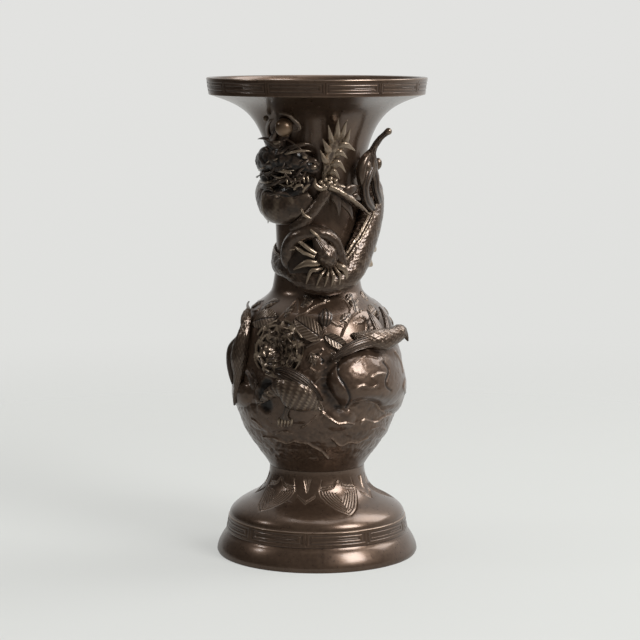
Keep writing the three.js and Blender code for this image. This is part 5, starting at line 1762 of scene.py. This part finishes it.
@dataclass
class Foliage(Ornaments):
    """The peony, its bud and the leaves."""

    middle: tuple = (279.0, 350.0)

    def bloom(self) -> None:
        """Three rings of ruffled petals round a knot of stamens."""
        parts = [ball(self.middle[0], self.middle[1], 4, (8, 8, 6.5), 40, 0.4)]
        rings = (
            (5, 26.0, 16.0, (2.5, 6.0, 4.5), 1.0, 20), (5, 20.5, 12.5, (4.0, 8.5, 8.5), 1.0, 55),
            (5, 15.5, 9.5, (5.5, 10.5, 11.5), 0.8, 20), (4, 10.5, 7.0, (7.0, 12.0, 13.5), 0.6, 50),
            (3, 6.5, 4.6, (8.5, 13.0, 14.5), 0.4, 20),
        )
        form = {"cup": 2.6, "vein": 0.18, "tip": 1.7, "columns": 37, "scallop": 0.1, "blunt": 0.5}
        for count, reach, half, offsets, ruffle, shift in rings:
            for k in range(count):
                turn = shift + 360 * k / count
                parts.append(blade(*self.middle, turn, reach, half, offsets, ruffle=1.3 * ruffle, **form))
        self.keep("peony", parts, "peony_bloom")

    def bud(self) -> None:
        """A round bud of lapped sepals on a curved stem."""
        parts = [
            limb([
                (325, 326, 2, 2.4, 2.2), (325.5, 321, 3.4, 6.4, 4.4), (325.5, 315.5, 3.6, 6.8, 4.8),
                (325, 310.5, 2.6, 3.4, 2.6), (324.6, 308.6, 2, 0.6, 0.6),
            ], steps=60, sides=60, displace=hair_lines(9, 0.8)),
            limb([
                (325, 325, 1.6, 1.8, 1.8), (321, 334, 1.4, 1.6, 1.6), (313, 343, 1.2, 1.4, 1.4),
                (306, 347, 1, 1.2, 1.2),
            ], steps=50, sides=18),
        ]
        self.keep("bud", parts, "peony_bud")

    def leaves(self) -> None:
        """The five leaves that are pinned on, and smaller ones cast with the wall."""
        pinned = {
            "left_leaf": (254, 321, 12, 30, 8.0),
            "broad_leaf": (322, 338.5, 147, 31, 9.2),
            "narrow_leaf": (325, 335, -31, 29, 5.4),
        }
        for name, path in pinned.items():
            skin = blade(*path, (1.8, 3.4, 2.0), cup=0.9, vein=0.4, thick=3.6, columns=49)
            self.keep(name, [skin], name)
        for name, (angle, height, length, half, lean) in {
            "back_leaf_left": (208, 214, 30, 8, 30), "back_leaf_right": (156, 208, 28, 8, 160),
        }.items():
            away = math.radians(lean)
            rows = []
            for share, breadth in ((0, 0.1), (0.18, 0.62), (0.42, 1.0), (0.7, 0.72), (0.9, 0.26), (1, 0.04)):
                reach = (share - 0.5) * length
                place = angle + math.degrees(reach * math.cos(away) / 79.0)
                rows.append((
                    place, height + reach * math.sin(away), 1.0, half * breadth, 2.4 * breadth + 0.3,
                ))
            self.keep(name, [limb(rows, Kind.WALL, 90, 64, displace=leaf_veins(half))], name)
        small = [
            (250, 309, 40, 15, 4.0), (262, 306, 20, 18, 4.6), (284, 318, 70, 13, 3.4),
            (292, 326, 10, 14, 3.6), (310, 352, -70, 14, 4.0), (331, 352, -50, 13, 3.6),
            (340, 322, 25, 16, 3.8), (356, 312, 60, 15, 3.8), (372, 313, 15, 18, 5.0),
            (366, 300, 35, 14, 3.6), (300, 306, 30, 15, 3.6), (313, 302, 150, 13, 3.2),
            (346, 300, 20, 13, 3.2), (330, 300, 160, 12, 3.0), (384, 306, -40, 15, 4.0),
            (392, 314, -60, 14, 4.0), (262, 331, -20, 15, 4.2), (306, 332, -140, 12, 3.4),
        ]
        parts = [blade(*path, (0.4, 1.8, 0.6), cup=-0.8, vein=0.35, thick=2.2, columns=25) for path in small]
        self.keep("small_leaves", parts)

    def build(self) -> None:
        """Makes the flower and the leaves."""
        self.bloom()
        self.bud()
        self.leaves()


@dataclass
class Studio:
    """The camera, the floor, the lamps and the room, in metres; the lamps face the height of aim."""

    sensor: float = 36.0
    paper: float = 2.4
    aim: float = 0.25

    def camera(self) -> None:
        """The camera at the eye point, with the vase's axis three steps left of the middle."""
        data = bpy.data.cameras.new("camera")
        data.sensor_width = self.sensor
        data.lens = VIEW.focal / VIEW.sheet * self.sensor
        data.shift_x = (VIEW.sheet / 2 - VIEW.axis) / VIEW.sheet
        data.clip_end = 50.0
        obj = bpy.data.objects.new("camera", data)
        obj.location = (0, -VIEW.distance * MM, VIEW.height * MM)
        obj.rotation_euler = (math.pi / 2 - VIEW.pitch, 0, 0)
        bpy.context.scene.collection.objects.link(obj)
        bpy.context.scene.camera = obj

    def floor(self) -> None:
        """A round sheet of paper under the vase."""
        turn = np.linspace(0, 2 * np.pi, 96, endpoint=False)
        edge = self.paper * np.stack([np.cos(turn), np.sin(turn), 0 * turn], axis=-1)
        mesh = bpy.data.meshes.new("paper")
        mesh.from_pydata(edge.tolist(), [], [tuple(range(turn.size))])
        mesh.materials.append(PlainStage().make())
        obj = bpy.data.objects.new("paper", mesh)
        bpy.context.scene.collection.objects.link(obj)

    def lamp(self, name: str, place: Sequence[float], size: Sequence[float], watts: float) -> None:
        """A soft box that faces the middle of the vase."""
        data = bpy.data.lights.new(name, "AREA")
        data.shape = "RECTANGLE"
        data.size, data.size_y = size
        data.energy = watts
        obj = bpy.data.objects.new(name, data)
        obj.location = place
        x, y, z = place[0], place[1], place[2] - self.aim
        obj.rotation_euler = (math.atan2(math.hypot(x, y), z), 0, math.atan2(y, x) + math.pi / 2)
        bpy.context.scene.collection.objects.link(obj)

    def lamps(self) -> None:
        """Soft boxes at the right front and the right side, a weak one overhead, a small one at the left."""
        self.lamp("key", (2.0, -1.75, 2.05), (1.2, 1.3), 84)
        self.lamp("side", (2.1, 0.7, 2.4), (1.5, 1.9), 50)
        self.lamp("top", (0.1, 0.2, 2.6), (1.8, 1.8), 26)
        self.lamp("left", (-2.0, -0.2, 1.6), (0.25, 0.3), 4.5)

    def build(self) -> None:
        """Sets up the scene round the vase."""
        self.camera()
        self.floor()
        self.lamps()
        bpy.context.scene.world = PaleRoom().make()
        bpy.context.scene.view_settings.view_transform = "Standard"


def main() -> None:
    logging.basicConfig(level=logging.INFO, format="%(message)s")
    finishes = Finishes()
    Vessel(finishes).build()
    Dragon(finishes).build()
    Birds(finishes).build()
    Foliage(finishes).build()
    for name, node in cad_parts.items():
        if node.hide_render:
            continue
        finish = finishes.rivet if "rivet" in name else finishes.plain
        node.data.materials.clear()
        node.data.materials.append(finish)
    Studio().build()


if __name__ == "__main__":
    main()
